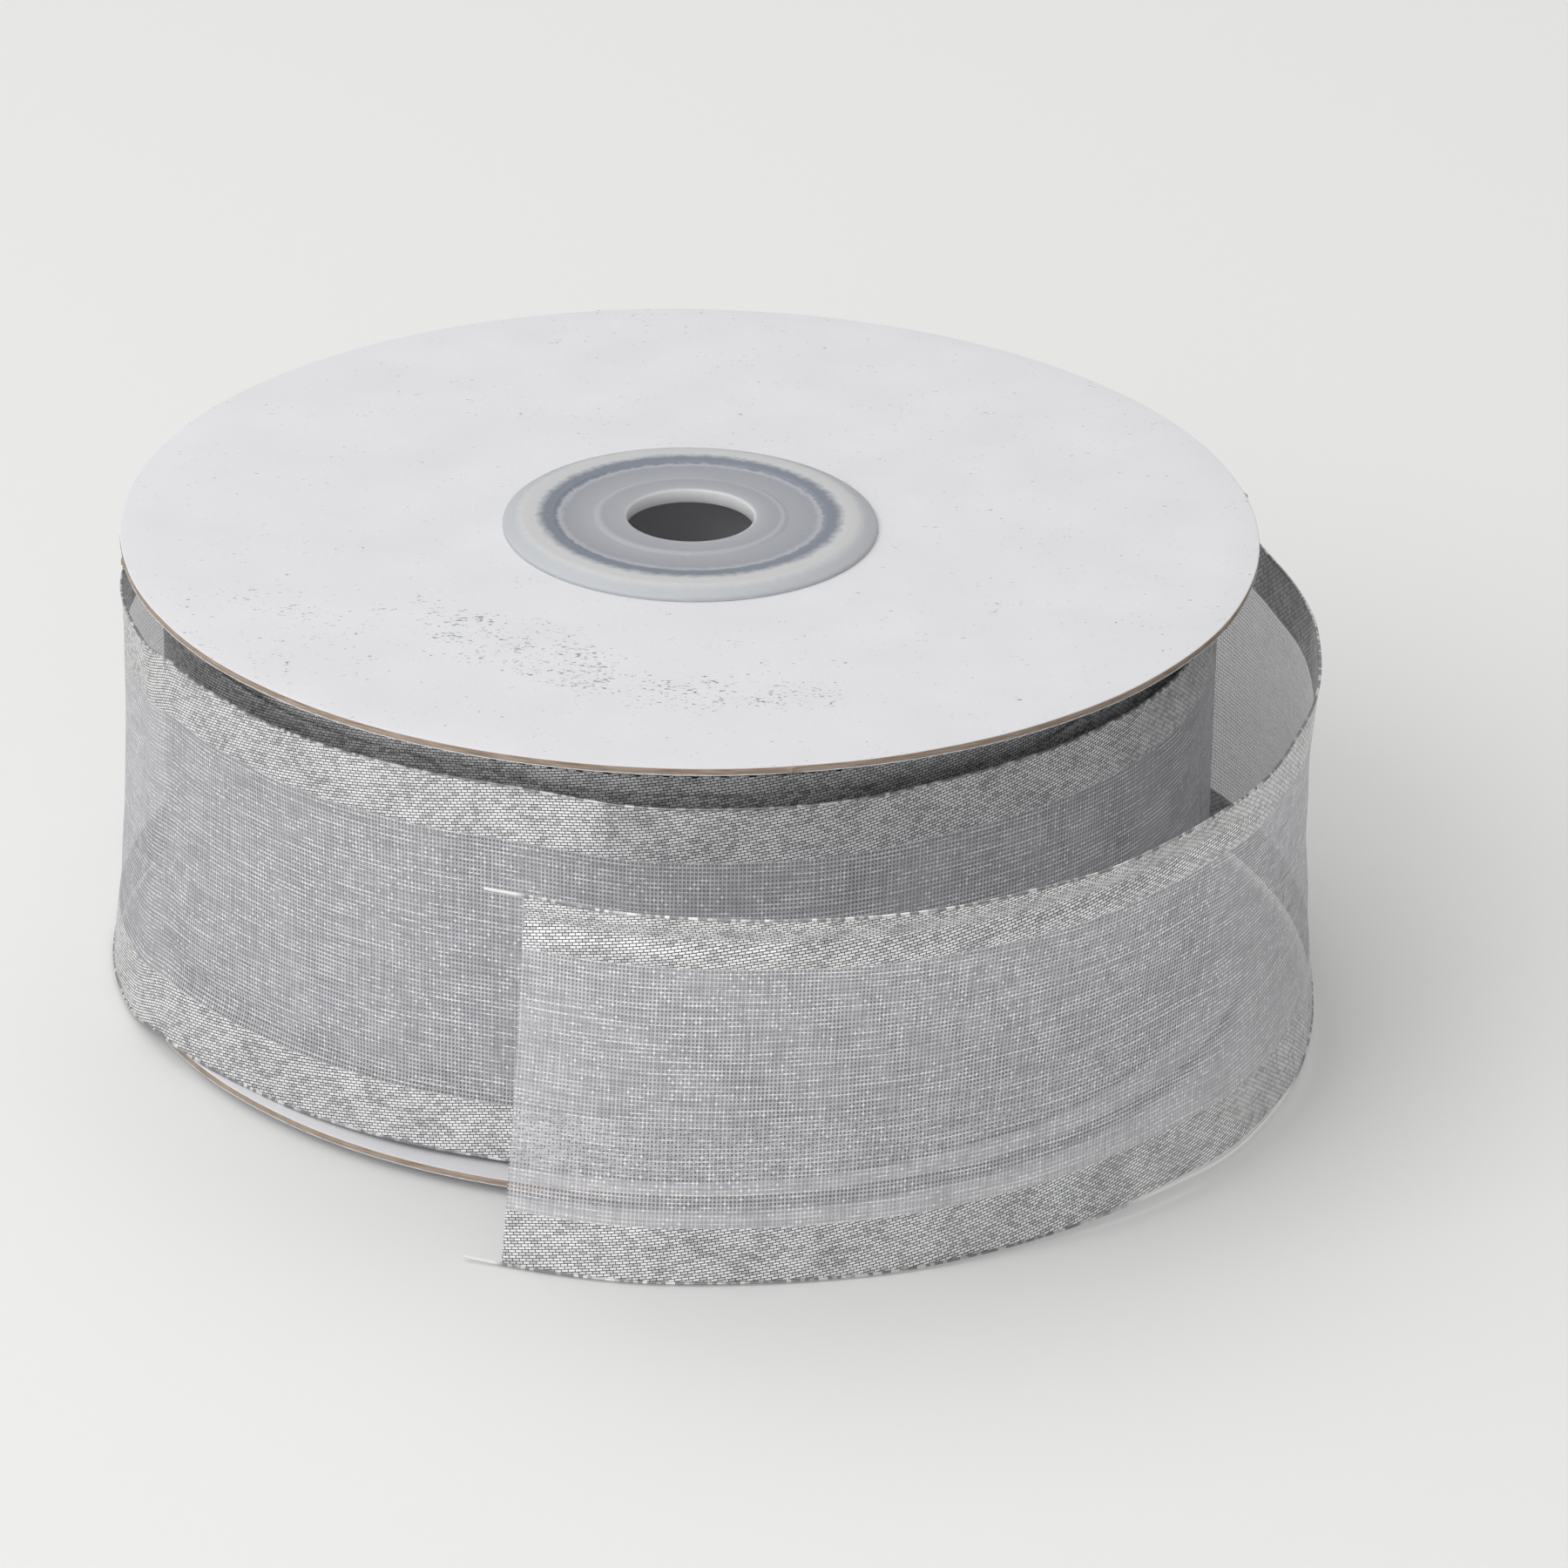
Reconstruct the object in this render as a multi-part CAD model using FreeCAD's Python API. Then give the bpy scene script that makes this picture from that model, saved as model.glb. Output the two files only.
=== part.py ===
import FreeCAD, Part
import math
import os

# Ribbon spool: two white-lined chipboard flanges on a paper core tube, held by
# two moulded hub plugs and wound with a wire-free organza ribbon whose last turn
# hangs loose. Millimetres, +Z up along the spool axis, z = 0 on the table under
# the lower plug's collar. Azimuths are in degrees from +X, anticlockwise from above.

# Ribbon, as woven
RIBBON_WIDTH = 38.0
SATIN_BORDER = 5.4
SHEER_THICKNESS = 0.20
SATIN_THICKNESS = 0.45
FILAMENT_DIAMETER = 0.30

# Flanges
FLANGE_RADIUS = 54.0
BOARD_THICKNESS = 0.56
LINER_THICKNESS = 0.12
RIBBON_PLAY = 4.4
NICK_COUNT = 4
NICK_WIDTH = 1.1
NICK_TIP_WIDTH = 0.5
NICK_REACH = 0.30
UPPER_NICK_AZIMUTH = -80.0
LOWER_NICK_AZIMUTH = -106.0

# Core tube
TUBE_BORE_RADIUS = 14.2
TUBE_WALL = 1.2
HOLE_CLEARANCE = 0.1

# Hub plugs
BORE_RADIUS = 6.05
COLLAR_RADIUS = 17.8
COLLAR_HEIGHT = 1.1
COLLAR_EDGE_HEIGHT = 0.35
COLLAR_TOP_RADIUS = 16.1
BOSS_RADIUS = 9.1
DISH_RADIUS = 12.9
DISH_DEPTH = 0.16
DISH_SLOPE = 0.12
WEB_THICKNESS = 1.35
SKIRT_CLEARANCE = 0.15
SKIRT_WALL = 1.4
SKIRT_DEPTH = 9.0
SKIRT_LEAD_IN = 0.7
RIB_COUNT = 4
RIB_WIDTH = 1.0
RIB_LEAD_IN = 2.0
RIB_CLEARANCE = 0.02

# Wound ribbon
PACK_MARGIN = 4.4
TELESCOPE = 2.5
TELESCOPE_DEPTH = 3.2
WRAP_LAYER_GAP = 0.08
WRAP_LIFT = 0.5

# Starting tape between the core tube and the first turn
TAPE_WIDTH = 19.0
TAPE_THICKNESS = 0.08
TAPE_ARC = 70.0

# Loose turn
STATION_STEP = 9.0
REST_GAP = 0.15
FREE_END_LENGTH = 3.6
FREE_END_RISE = 0.25
DROP_DEPTH = 0.55
DROP_FROM = -58.0
DROP_TO = -22.0

# Worked out from the sizes above
FLANGE_THICKNESS = BOARD_THICKNESS + 2 * LINER_THICKNESS
FLANGE_GAP = RIBBON_WIDTH + RIBBON_PLAY
LOWER_FACE = COLLAR_HEIGHT
LOWER_SEAT = LOWER_FACE + FLANGE_THICKNESS
UPPER_SEAT = LOWER_SEAT + FLANGE_GAP
UPPER_FACE = UPPER_SEAT + FLANGE_THICKNESS
SPOOL_HEIGHT = UPPER_FACE + COLLAR_HEIGHT
TUBE_RADIUS = TUBE_BORE_RADIUS + TUBE_WALL
FLANGE_HOLE_RADIUS = TUBE_BORE_RADIUS + HOLE_CLEARANCE
SKIRT_RADIUS = TUBE_BORE_RADIUS - SKIRT_CLEARANCE
PACK_RADIUS = FLANGE_RADIUS - PACK_MARGIN
INNER_FACE = -SATIN_THICKNESS / 2
WRAP_INNER = PACK_RADIUS + WRAP_LAYER_GAP - INNER_FACE
WRAP_OUTER = WRAP_INNER + SATIN_THICKNESS + WRAP_LAYER_GAP
SEATED_FOOT = LOWER_SEAT + FILAMENT_DIAMETER
TABLE_FOOT = FILAMENT_DIAMETER + REST_GAP
WRAP_FOOT = LOWER_SEAT + WRAP_LIFT

# The loose turn from its cut end round to where it lies on the wound pack: azimuth,
# height of the lower edge, radius of the lower edge, bow of the middle, lean of the top.
LOOSE_TURN = [
    (-104, TABLE_FOOT, FLANGE_RADIUS + 12.8, -0.7, 1.4),
    (-92, TABLE_FOOT, FLANGE_RADIUS + 14.0, -0.8, 2.6),
    (-76, TABLE_FOOT, FLANGE_RADIUS + 14.0, -1.1, 3.6),
    (-60, LOWER_SEAT - 0.8, FLANGE_RADIUS + 13.8, -1.3, 3.8),
    (-45, LOWER_SEAT + 0.2, FLANGE_RADIUS + 13.4, -1.4, 2.4),
    (-30, LOWER_SEAT + 0.2, FLANGE_RADIUS + 11.1, -1.2, 0.3),
    (-10, LOWER_SEAT - 0.1, FLANGE_RADIUS + 7.2, -0.7, -1.2),
    (12, LOWER_SEAT - 0.5, FLANGE_RADIUS + 5.2, -0.2, -3.6),
    (50, TABLE_FOOT + 0.3, FLANGE_RADIUS + 2.8, -0.3, -2.0),
    (110, TABLE_FOOT + 0.2, FLANGE_RADIUS + 1.7, -0.4, -1.4),
    (180, TABLE_FOOT + 0.2, FLANGE_RADIUS + 1.2, -0.7, -1.2),
    (196, LOWER_SEAT - 1.1, FLANGE_RADIUS + 0.9, -0.8, -1.8),
    (206, SEATED_FOOT, FLANGE_RADIUS + 0.5, -0.8, -1.7),
    (222, SEATED_FOOT, FLANGE_RADIUS - 1.2, -0.9, -0.6),
    (240, LOWER_SEAT + 0.7, PACK_RADIUS + 2.5, -0.4, 0.0),
    (252, LOWER_SEAT + 0.7, PACK_RADIUS + 1.7, -0.3, 0.3),
    (268, SEATED_FOOT, PACK_RADIUS + 1.8, -0.3, 1.2),
    (282, SEATED_FOOT, PACK_RADIUS + 1.8, -0.3, 1.2),
    (300, LOWER_SEAT + 0.5, PACK_RADIUS + 1.4, -0.2, 0.6),
    (325, LOWER_SEAT + 0.5, PACK_RADIUS + 1.3, 0.0, 0.2),
    (345, WRAP_FOOT, WRAP_OUTER, 0.0, 0.0),
]
CUT_SLANT = 2.3
CUT_BLEND = 24.0
CUT_AZIMUTH, CUT_RADIUS = LOOSE_TURN[0][0], LOOSE_TURN[0][2]
PACK_AZIMUTH = LOOSE_TURN[-1][0]
BORDER_SHARE = SATIN_BORDER / RIBBON_WIDTH
WIDTH_SHARES = [0, BORDER_SHARE, 0.32, 0.5, 0.68, 1 - BORDER_SHARE, 1]
FILAMENT_SIDES = 5


def ring(outer, inner, low, high):
    """Flat ring between two heights."""
    disc = Part.makeCylinder(outer, high - low, FreeCAD.Vector(0, 0, low))
    hole = Part.makeCylinder(inner, high - low, FreeCAD.Vector(0, 0, low))
    return disc.cut(hole)


def polar(radius, azimuth, height):
    """Point at a radius and an azimuth round the spool axis."""
    angle = math.radians(azimuth)
    return FreeCAD.Vector(radius * math.cos(angle), radius * math.sin(angle), height)


def revolved(edges):
    """Solid of revolution about the spool axis, from profile edges in the XZ plane."""
    face = Part.Face(Part.Wire(edges))
    return face.revolve(FreeCAD.Vector(0, 0, 0), FreeCAD.Vector(0, 0, 1), 360)


def flange_board(low, nick_azimuth):
    """Chipboard disc with the small burrs that the die-cut nicks leave on its rim."""
    board = ring(FLANGE_RADIUS, FLANGE_HOLE_RADIUS, low, low + BOARD_THICKNESS)
    root, tip = FLANGE_RADIUS - NICK_REACH, FLANGE_RADIUS + NICK_REACH
    corners = [
        FreeCAD.Vector(root, -NICK_WIDTH / 2, low),
        FreeCAD.Vector(tip, -NICK_TIP_WIDTH / 2, low),
        FreeCAD.Vector(tip, NICK_TIP_WIDTH / 2, low),
        FreeCAD.Vector(root, NICK_WIDTH / 2, low),
    ]
    face = Part.Face(Part.makePolygon(corners + corners[:1]))
    for index in range(NICK_COUNT):
        burr = face.extrude(FreeCAD.Vector(0, 0, BOARD_THICKNESS))
        turn = nick_azimuth + index * 360 / NICK_COUNT
        burr.rotate(FreeCAD.Vector(0, 0, 0), FreeCAD.Vector(0, 0, 1), turn)
        board = board.fuse(burr)
    return board.removeSplitter()


def liner(low):
    """White paper liner glued over one face of a flange board."""
    return ring(FLANGE_RADIUS, FLANGE_HOLE_RADIUS, low, low + LINER_THICKNESS)


def core_tube():
    """Paper tube that the ribbon is wound on, butted between the two flanges."""
    return ring(TUBE_RADIUS, TUBE_BORE_RADIUS, LOWER_SEAT, UPPER_SEAT)


def plug_profile():
    """Section of the upper plug: heights are measured from the flange's outer face."""
    top = COLLAR_HEIGHT
    web = top - WEB_THICKNESS
    inner = SKIRT_RADIUS - SKIRT_WALL
    tip = -SKIRT_DEPTH
    point = lambda radius, height: FreeCAD.Vector(radius, 0, UPPER_FACE + height)
    outline = [
        point(BORE_RADIUS, web),
        point(BORE_RADIUS, top),
        point(BOSS_RADIUS, top),
        point(BOSS_RADIUS + DISH_SLOPE, top - DISH_DEPTH),
        point(DISH_RADIUS - DISH_SLOPE, top - DISH_DEPTH),
        point(DISH_RADIUS, top),
        point(COLLAR_TOP_RADIUS, top),
        point(COLLAR_RADIUS, COLLAR_EDGE_HEIGHT),
        point(COLLAR_RADIUS, 0),
        point(SKIRT_RADIUS, 0),
        point(SKIRT_RADIUS, tip + SKIRT_LEAD_IN),
        point(SKIRT_RADIUS - SKIRT_LEAD_IN / 2, tip),
        point(inner, tip),
        point(inner, web),
    ]
    closed = outline + outline[:1]
    return [Part.LineSegment(a, b).toShape() for a, b in zip(closed, closed[1:])]


def crush_rib(azimuth):
    """Axial rib on the skirt: its flat crest's corners nearly touch the tube's bore."""
    reach = math.sqrt((TUBE_BORE_RADIUS - RIB_CLEARANCE) ** 2 - (RIB_WIDTH / 2) ** 2)
    root = SKIRT_RADIUS - SKIRT_WALL / 2
    low = UPPER_SEAT - SKIRT_DEPTH + FLANGE_THICKNESS + SKIRT_LEAD_IN
    corners = [
        FreeCAD.Vector(root, -RIB_WIDTH / 2, low),
        FreeCAD.Vector(SKIRT_RADIUS, -RIB_WIDTH / 2, low),
        FreeCAD.Vector(reach, -RIB_WIDTH / 2, low + RIB_LEAD_IN),
        FreeCAD.Vector(reach, -RIB_WIDTH / 2, UPPER_SEAT),
        FreeCAD.Vector(root, -RIB_WIDTH / 2, UPPER_SEAT),
    ]
    face = Part.Face(Part.makePolygon(corners + corners[:1]))
    rib = face.extrude(FreeCAD.Vector(0, RIB_WIDTH, 0))
    rib.rotate(FreeCAD.Vector(0, 0, 0), FreeCAD.Vector(0, 0, 1), azimuth)
    return rib


def upper_hub_plug():
    """Moulded plug: collar over the flange, dished web with the bore, ribbed skirt."""
    plug = revolved(plug_profile())
    for index in range(RIB_COUNT):
        plug = plug.fuse(crush_rib(index * 360 / RIB_COUNT))
    return plug


def lower_hub_plug(upper):
    """The same plug, turned over about the middle of the spool."""
    middle = FreeCAD.Vector(0, 0, SPOOL_HEIGHT / 2)
    return upper.mirror(middle, FreeCAD.Vector(0, 0, 1))


def starting_tape():
    """Strip of tape that holds the ribbon's first turn to the tube."""
    middle = LOWER_SEAT + RIBBON_WIDTH / 2
    band = ring(
        TUBE_RADIUS + TAPE_THICKNESS, TUBE_RADIUS,
        middle - TAPE_WIDTH / 2, middle + TAPE_WIDTH / 2,
    )
    reach = 2 * TUBE_RADIUS
    half = math.radians(TAPE_ARC / 2)
    corners = [
        FreeCAD.Vector(0, 0, LOWER_SEAT),
        FreeCAD.Vector(reach * math.cos(half), -reach * math.sin(half), LOWER_SEAT),
        FreeCAD.Vector(reach * math.cos(half), reach * math.sin(half), LOWER_SEAT),
    ]
    sector = Part.Face(Part.makePolygon(corners + corners[:1]))
    return band.common(sector.extrude(FreeCAD.Vector(0, 0, RIBBON_WIDTH)))


def ribbon_pack(tape):
    """Plain wound mass: the last few millimetres of turns sit higher than the rest."""
    foot, top = LOWER_SEAT, LOWER_SEAT + RIBBON_WIDTH
    outer = PACK_RADIUS
    step = PACK_RADIUS - TELESCOPE_DEPTH
    corners = [
        (TUBE_RADIUS, foot),
        (step - TELESCOPE, foot),
        (step, foot + TELESCOPE),
        (outer, foot + TELESCOPE),
        (outer, top + TELESCOPE),
        (step, top + TELESCOPE),
        (step - TELESCOPE, top),
        (TUBE_RADIUS, top),
    ]
    points = [FreeCAD.Vector(radius, 0, height) for radius, height in corners]
    points.append(points[0])
    edges = [Part.LineSegment(a, b).toShape() for a, b in zip(points, points[1:])]
    return revolved(edges).cut(tape)


def spiral_band(start, end, thickness, low, high):
    """Upright band that spirals in by arcs, flush inside with the satin borders."""
    (azimuth_a, radius_a), (azimuth_b, radius_b) = start, end
    quarters = max(1, math.ceil((azimuth_b - azimuth_a) / 90))

    def wall(offset):
        def at(share):
            azimuth = azimuth_a + share * (azimuth_b - azimuth_a)
            radius = radius_a + share * (radius_b - radius_a) + offset
            return polar(radius, azimuth, low)
        return [
            Part.Arc(at(i / quarters), at((i + 0.5) / quarters), at((i + 1) / quarters))
            for i in range(quarters)
        ]

    outer, inner = wall(INNER_FACE + thickness), wall(INNER_FACE)
    ends = [
        Part.LineSegment(outer[0].StartPoint, inner[0].StartPoint),
        Part.LineSegment(outer[-1].EndPoint, inner[-1].EndPoint),
    ]
    edges = [curve.toShape() for curve in outer + ends[1:] + inner[::-1] + ends[:1]]
    face = Part.Face(Part.Wire(Part.__sortEdges__(edges)))
    return face.extrude(FreeCAD.Vector(0, 0, high - low))


def ribbon_wrap():
    """Outermost wound turn, from the end of the loose turn once round the pack."""
    start, end = (PACK_AZIMUTH, WRAP_OUTER), (PACK_AZIMUTH + 360, WRAP_INNER)
    foot, top = WRAP_FOOT, WRAP_FOOT + RIBBON_WIDTH
    band = spiral_band(start, end, SHEER_THICKNESS, foot, top)
    for low in (foot, top - SATIN_BORDER):
        band = band.fuse(spiral_band(start, end, SATIN_THICKNESS, low, low + SATIN_BORDER))
    return band.removeSplitter()


def eased(column, azimuth):
    """Value of one column of the loose turn's stations, joined by level-ended cubics."""
    stations = LOOSE_TURN
    index = 0
    while index < len(stations) - 2 and azimuth > stations[index + 1][0]:
        index += 1
    left, right = stations[index], stations[index + 1]

    def slope(at):
        if at == 0 or at == len(stations) - 1:
            near = stations[1] if at == 0 else stations[-2]
            return (near[column] - stations[at][column]) / (near[0] - stations[at][0])
        before, here, after = stations[at - 1], stations[at], stations[at + 1]
        rise_in = (here[column] - before[column]) / (here[0] - before[0])
        rise_out = (after[column] - here[column]) / (after[0] - here[0])
        if rise_in * rise_out <= 0:
            return 0.0
        return 2 * rise_in * rise_out / (rise_in + rise_out)

    span = right[0] - left[0]
    share = (azimuth - left[0]) / span
    cubic, square = share ** 3, share ** 2
    return (
        (2 * cubic - 3 * square + 1) * left[column]
        + (cubic - 2 * square + share) * span * slope(index)
        + (3 * square - 2 * cubic) * right[column]
        + (cubic - square) * span * slope(index + 1)
    )


def cross_line(azimuth):
    """Radius and height at each share of the ribbon's width, at one azimuth."""
    foot, radius = eased(1, azimuth), eased(2, azimuth)
    bow, lean = eased(3, azimuth), eased(4, azimuth)
    line = []
    for share in WIDTH_SHARES:
        at = radius + lean * share + 4 * bow * share * (1 - share)
        if line:
            run = RIBBON_WIDTH * (share - line[-1][0])
            height = line[-1][2] + math.sqrt(max(run ** 2 - (at - line[-1][1]) ** 2, 0))
        else:
            height = foot
        line.append((share, at, height))
    return [(at, height) for _, at, height in line]


def slanted(radius, azimuth, height):
    """Point of the loose turn, moved along where the scissors cut the end askew."""
    near_cut = min(max(0.0, 1 - (azimuth - CUT_AZIMUTH) / CUT_BLEND), 1.0)
    along = CUT_SLANT * near_cut * (height - TABLE_FOOT) / RIBBON_WIDTH
    turned = math.radians(azimuth)
    forward = FreeCAD.Vector(-math.sin(turned), math.cos(turned), 0)
    return polar(radius, azimuth, height) + forward * along


def stations(first, last):
    """Evenly spread azimuths, about a station step apart."""
    count = max(1, round((last - first) / STATION_STEP))
    return [first + (last - first) * i / count for i in range(count + 1)]


def lofted(sections):
    """Solid through closed sections, joined by straight lines and facing outwards."""
    solid = Part.makeLoft(sections, True, True)
    return solid if solid.Volume > 0 else solid.reversed()


def skinned(rings):
    """Solid through rings of points, corner to corner, for a rod too thin to loft."""
    loops = [rings[0][::-1], rings[-1]]
    for near, far in zip(rings, rings[1:]):
        for here in range(len(near)):
            after = (here + 1) % len(near)
            loops.append([near[here], near[after], far[after]])
            loops.append([near[here], far[after], far[here]])
    faces = [Part.Face(Part.makePolygon(loop + loop[:1])) for loop in loops]
    solid = Part.Solid(Part.Shell(faces))
    return solid if solid.Volume > 0 else solid.reversed()


def ribbon_loose_turn():
    """Loose last turn: thicker satin borders each side of a sheer, bowed middle."""
    satin, sheer = INNER_FACE + SATIN_THICKNESS, INNER_FACE + SHEER_THICKNESS
    outside = [
        (0, satin), (1, satin), (1, sheer), (2, sheer), (3, sheer),
        (4, sheer), (5, sheer), (5, satin), (6, satin),
    ]
    inside = [(index, INNER_FACE) for index in reversed(range(len(WIDTH_SHARES)))]
    sections = []
    for azimuth in stations(CUT_AZIMUTH, PACK_AZIMUTH):
        line = cross_line(azimuth)
        corners = [
            slanted(line[index][0] + offset, azimuth, line[index][1])
            for index, offset in outside + inside
        ]
        sections.append(Part.makePolygon(corners + corners[:1]))
    return lofted(sections)


def selvedge_filament(edge, side):
    """Monofilament along one edge of the loose turn, poking out of the cut end."""
    overhang = math.degrees(FREE_END_LENGTH / CUT_RADIUS)
    azimuths = [CUT_AZIMUTH - overhang, CUT_AZIMUTH - overhang / 2]
    azimuths += stations(CUT_AZIMUTH, PACK_AZIMUTH)
    radius = FILAMENT_DIAMETER / 2
    rings = []
    for azimuth in azimuths:
        held = max(azimuth, CUT_AZIMUTH)
        at, height = cross_line(held)[edge]
        drop = dropped(azimuth) if side < 0 else 0.0
        height += side * (radius + drop) + FREE_END_RISE * (held - azimuth) / overhang
        turns = [math.radians(360 * i / FILAMENT_SIDES) for i in range(FILAMENT_SIDES)]
        rings.append([
            slanted(at + radius * math.cos(turn), azimuth, height + radius * math.sin(turn))
            for turn in turns
        ])
    return skinned(rings)


def dropped(azimuth):
    """How far the lower filament has sprung out under its selvedge at the right."""
    if not DROP_FROM < azimuth < DROP_TO:
        return 0.0
    return DROP_DEPTH * math.sin(math.pi * (azimuth - DROP_FROM) / (DROP_TO - DROP_FROM)) ** 2


def build():
    """All pieces of the spool by node name."""
    upper_plug = upper_hub_plug()
    tape = starting_tape()
    lower_board = LOWER_FACE + LINER_THICKNESS
    upper_board = UPPER_SEAT + LINER_THICKNESS
    return {
        "upper_flange_board": flange_board(upper_board, UPPER_NICK_AZIMUTH),
        "upper_flange_outer_liner": liner(upper_board + BOARD_THICKNESS),
        "upper_flange_inner_liner": liner(UPPER_SEAT),
        "lower_flange_board": flange_board(lower_board, LOWER_NICK_AZIMUTH),
        "lower_flange_outer_liner": liner(LOWER_FACE),
        "lower_flange_inner_liner": liner(lower_board + BOARD_THICKNESS),
        "core_tube": core_tube(),
        "upper_hub_plug": upper_plug,
        "lower_hub_plug": lower_hub_plug(upper_plug),
        "starting_tape": tape,
        "ribbon_pack": ribbon_pack(tape),
        "ribbon_outer_wrap": ribbon_wrap(),
        "ribbon_loose_turn": ribbon_loose_turn(),
        "upper_edge_filament": selvedge_filament(-1, 1),
        "lower_edge_filament": selvedge_filament(0, -1),
    }


os.makedirs("parts", exist_ok=True)
for name, shape in build().items():
    shape.exportStep(os.path.join("parts", name + ".step"))
    print(name, "valid", shape.isValid(), "volume", round(shape.Volume, 2))
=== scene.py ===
"""Looks of a ribbon spool: card flanges, moulded hub plugs and silver satin-edged organza.

Lengths are millimetres until they reach a mesh, where they become metres. The origin is on the
spool's axis in the plane of the table, +Z is up, and azimuths run anticlockwise from +X.
"""

from __future__ import annotations

import logging
import math
from dataclasses import dataclass, field
from enum import Enum
from typing import Any

import bpy
import numpy as np
from mathutils import Euler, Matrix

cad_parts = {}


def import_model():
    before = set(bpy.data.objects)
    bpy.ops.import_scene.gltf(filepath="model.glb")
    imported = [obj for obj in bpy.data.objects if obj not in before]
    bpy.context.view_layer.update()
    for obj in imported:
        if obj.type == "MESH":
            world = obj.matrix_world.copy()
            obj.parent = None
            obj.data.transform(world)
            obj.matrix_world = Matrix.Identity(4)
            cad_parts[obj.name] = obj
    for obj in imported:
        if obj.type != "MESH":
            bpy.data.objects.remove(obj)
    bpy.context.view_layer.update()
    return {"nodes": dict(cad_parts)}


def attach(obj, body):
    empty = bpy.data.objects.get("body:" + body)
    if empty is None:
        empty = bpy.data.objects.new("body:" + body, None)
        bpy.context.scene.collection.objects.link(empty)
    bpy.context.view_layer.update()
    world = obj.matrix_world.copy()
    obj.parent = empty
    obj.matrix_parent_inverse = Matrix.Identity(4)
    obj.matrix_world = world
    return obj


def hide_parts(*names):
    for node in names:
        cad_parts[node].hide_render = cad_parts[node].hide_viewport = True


LOG = logging.getLogger("ribbon_spool")
MM = 0.001

FLANGE_RADIUS = 54.0
BOARD_THICKNESS = 0.56
LINER_THICKNESS = 0.12
FLANGE_HOLE_RADIUS = 14.3
COLLAR_HEIGHT = 1.1
RIBBON_WIDTH = 38.0
SATIN_BORDER = 5.4
FLANGE_GAP = 42.4
FLANGE_THICKNESS = BOARD_THICKNESS + 2 * LINER_THICKNESS
LOWER_FACE = COLLAR_HEIGHT
LOWER_SEAT = LOWER_FACE + FLANGE_THICKNESS
UPPER_SEAT = LOWER_SEAT + FLANGE_GAP
UPPER_FACE = UPPER_SEAT + FLANGE_THICKNESS
SPOOL_HEIGHT = UPPER_FACE + COLLAR_HEIGHT
PACK_RADIUS = 49.6
TUBE_RADIUS = 15.4
TUBE_BORE_RADIUS = 14.2
FILAMENT_RADIUS = 0.15
CLOTH_SEED = 11


class Side(Enum):
    """Which end of the spool a piece belongs to."""

    UPPER = "upper"
    LOWER = "lower"


def linear(colour: str) -> tuple[float, float, float, float]:
    """Turns an sRGB hex colour into linear RGBA, by the sRGB curve.

    Args:
        colour: Six hex digits, as in "d8d8da".

    Returns:
        Linear red, green, blue and an alpha of one.
    """
    shares = [int(colour[i : i + 2], 16) / 255 for i in (0, 2, 4)]
    lin = [s / 12.92 if s <= 0.04045 else ((s + 0.055) / 1.055) ** 2.4 for s in shares]
    return (lin[0], lin[1], lin[2], 1.0)


def add_node(
    tree: bpy.types.NodeTree, kind: str, inputs: dict[int | str, Any] | None = None, **settings: Any
) -> bpy.types.Node:
    """Adds a shader node, sets its options and fills or links its inputs.

    Args:
        tree: The node tree to add to.
        kind: Blender's name of the node's type.
        inputs: For each input a value, a socket, or a node whose first output feeds it.
        **settings: Options of the node itself.

    Returns:
        The new node.
    """
    node = tree.nodes.new(kind)
    for name, value in settings.items():
        setattr(node, name, value)
    for key, value in (inputs or {}).items():
        source = value.outputs[0] if isinstance(value, bpy.types.Node) else value
        if isinstance(source, bpy.types.NodeSocket):
            tree.links.new(source, node.inputs[key])
        else:
            node.inputs[key].default_value = source
    return node


def new_material(name: str) -> tuple[bpy.types.Material, bpy.types.NodeTree, bpy.types.Node]:
    """Starts a node material with an empty tree and its output.

    Args:
        name: The material's name.

    Returns:
        The material, its node tree and its output node.
    """
    material = bpy.data.materials.new(name)
    material.use_nodes = True
    tree = material.node_tree
    tree.nodes.clear()
    return material, tree, tree.nodes.new("ShaderNodeOutputMaterial")


def mottled(
    tree: bpy.types.NodeTree, noise: bpy.types.Node, colour: Any, low: float, high: float
) -> bpy.types.Node:
    """A colour times a factor that follows a noise, so it is darker and lighter in patches.

    Args:
        tree: The material's node tree.
        noise: Node whose first output is the noise.
        colour: Linear red, green and blue, or a socket with a colour.
        low: The factor where the noise is low.
        high: The factor where it is high.

    Returns:
        The node whose first output is the colour.
    """
    tone = add_node(tree, "ShaderNodeMapRange", {0: noise, 1: 0.3, 2: 0.7, 3: low, 4: high})
    return add_node(tree, "ShaderNodeVectorMath", {0: colour, "Scale": tone}, operation="SCALE")


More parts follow.
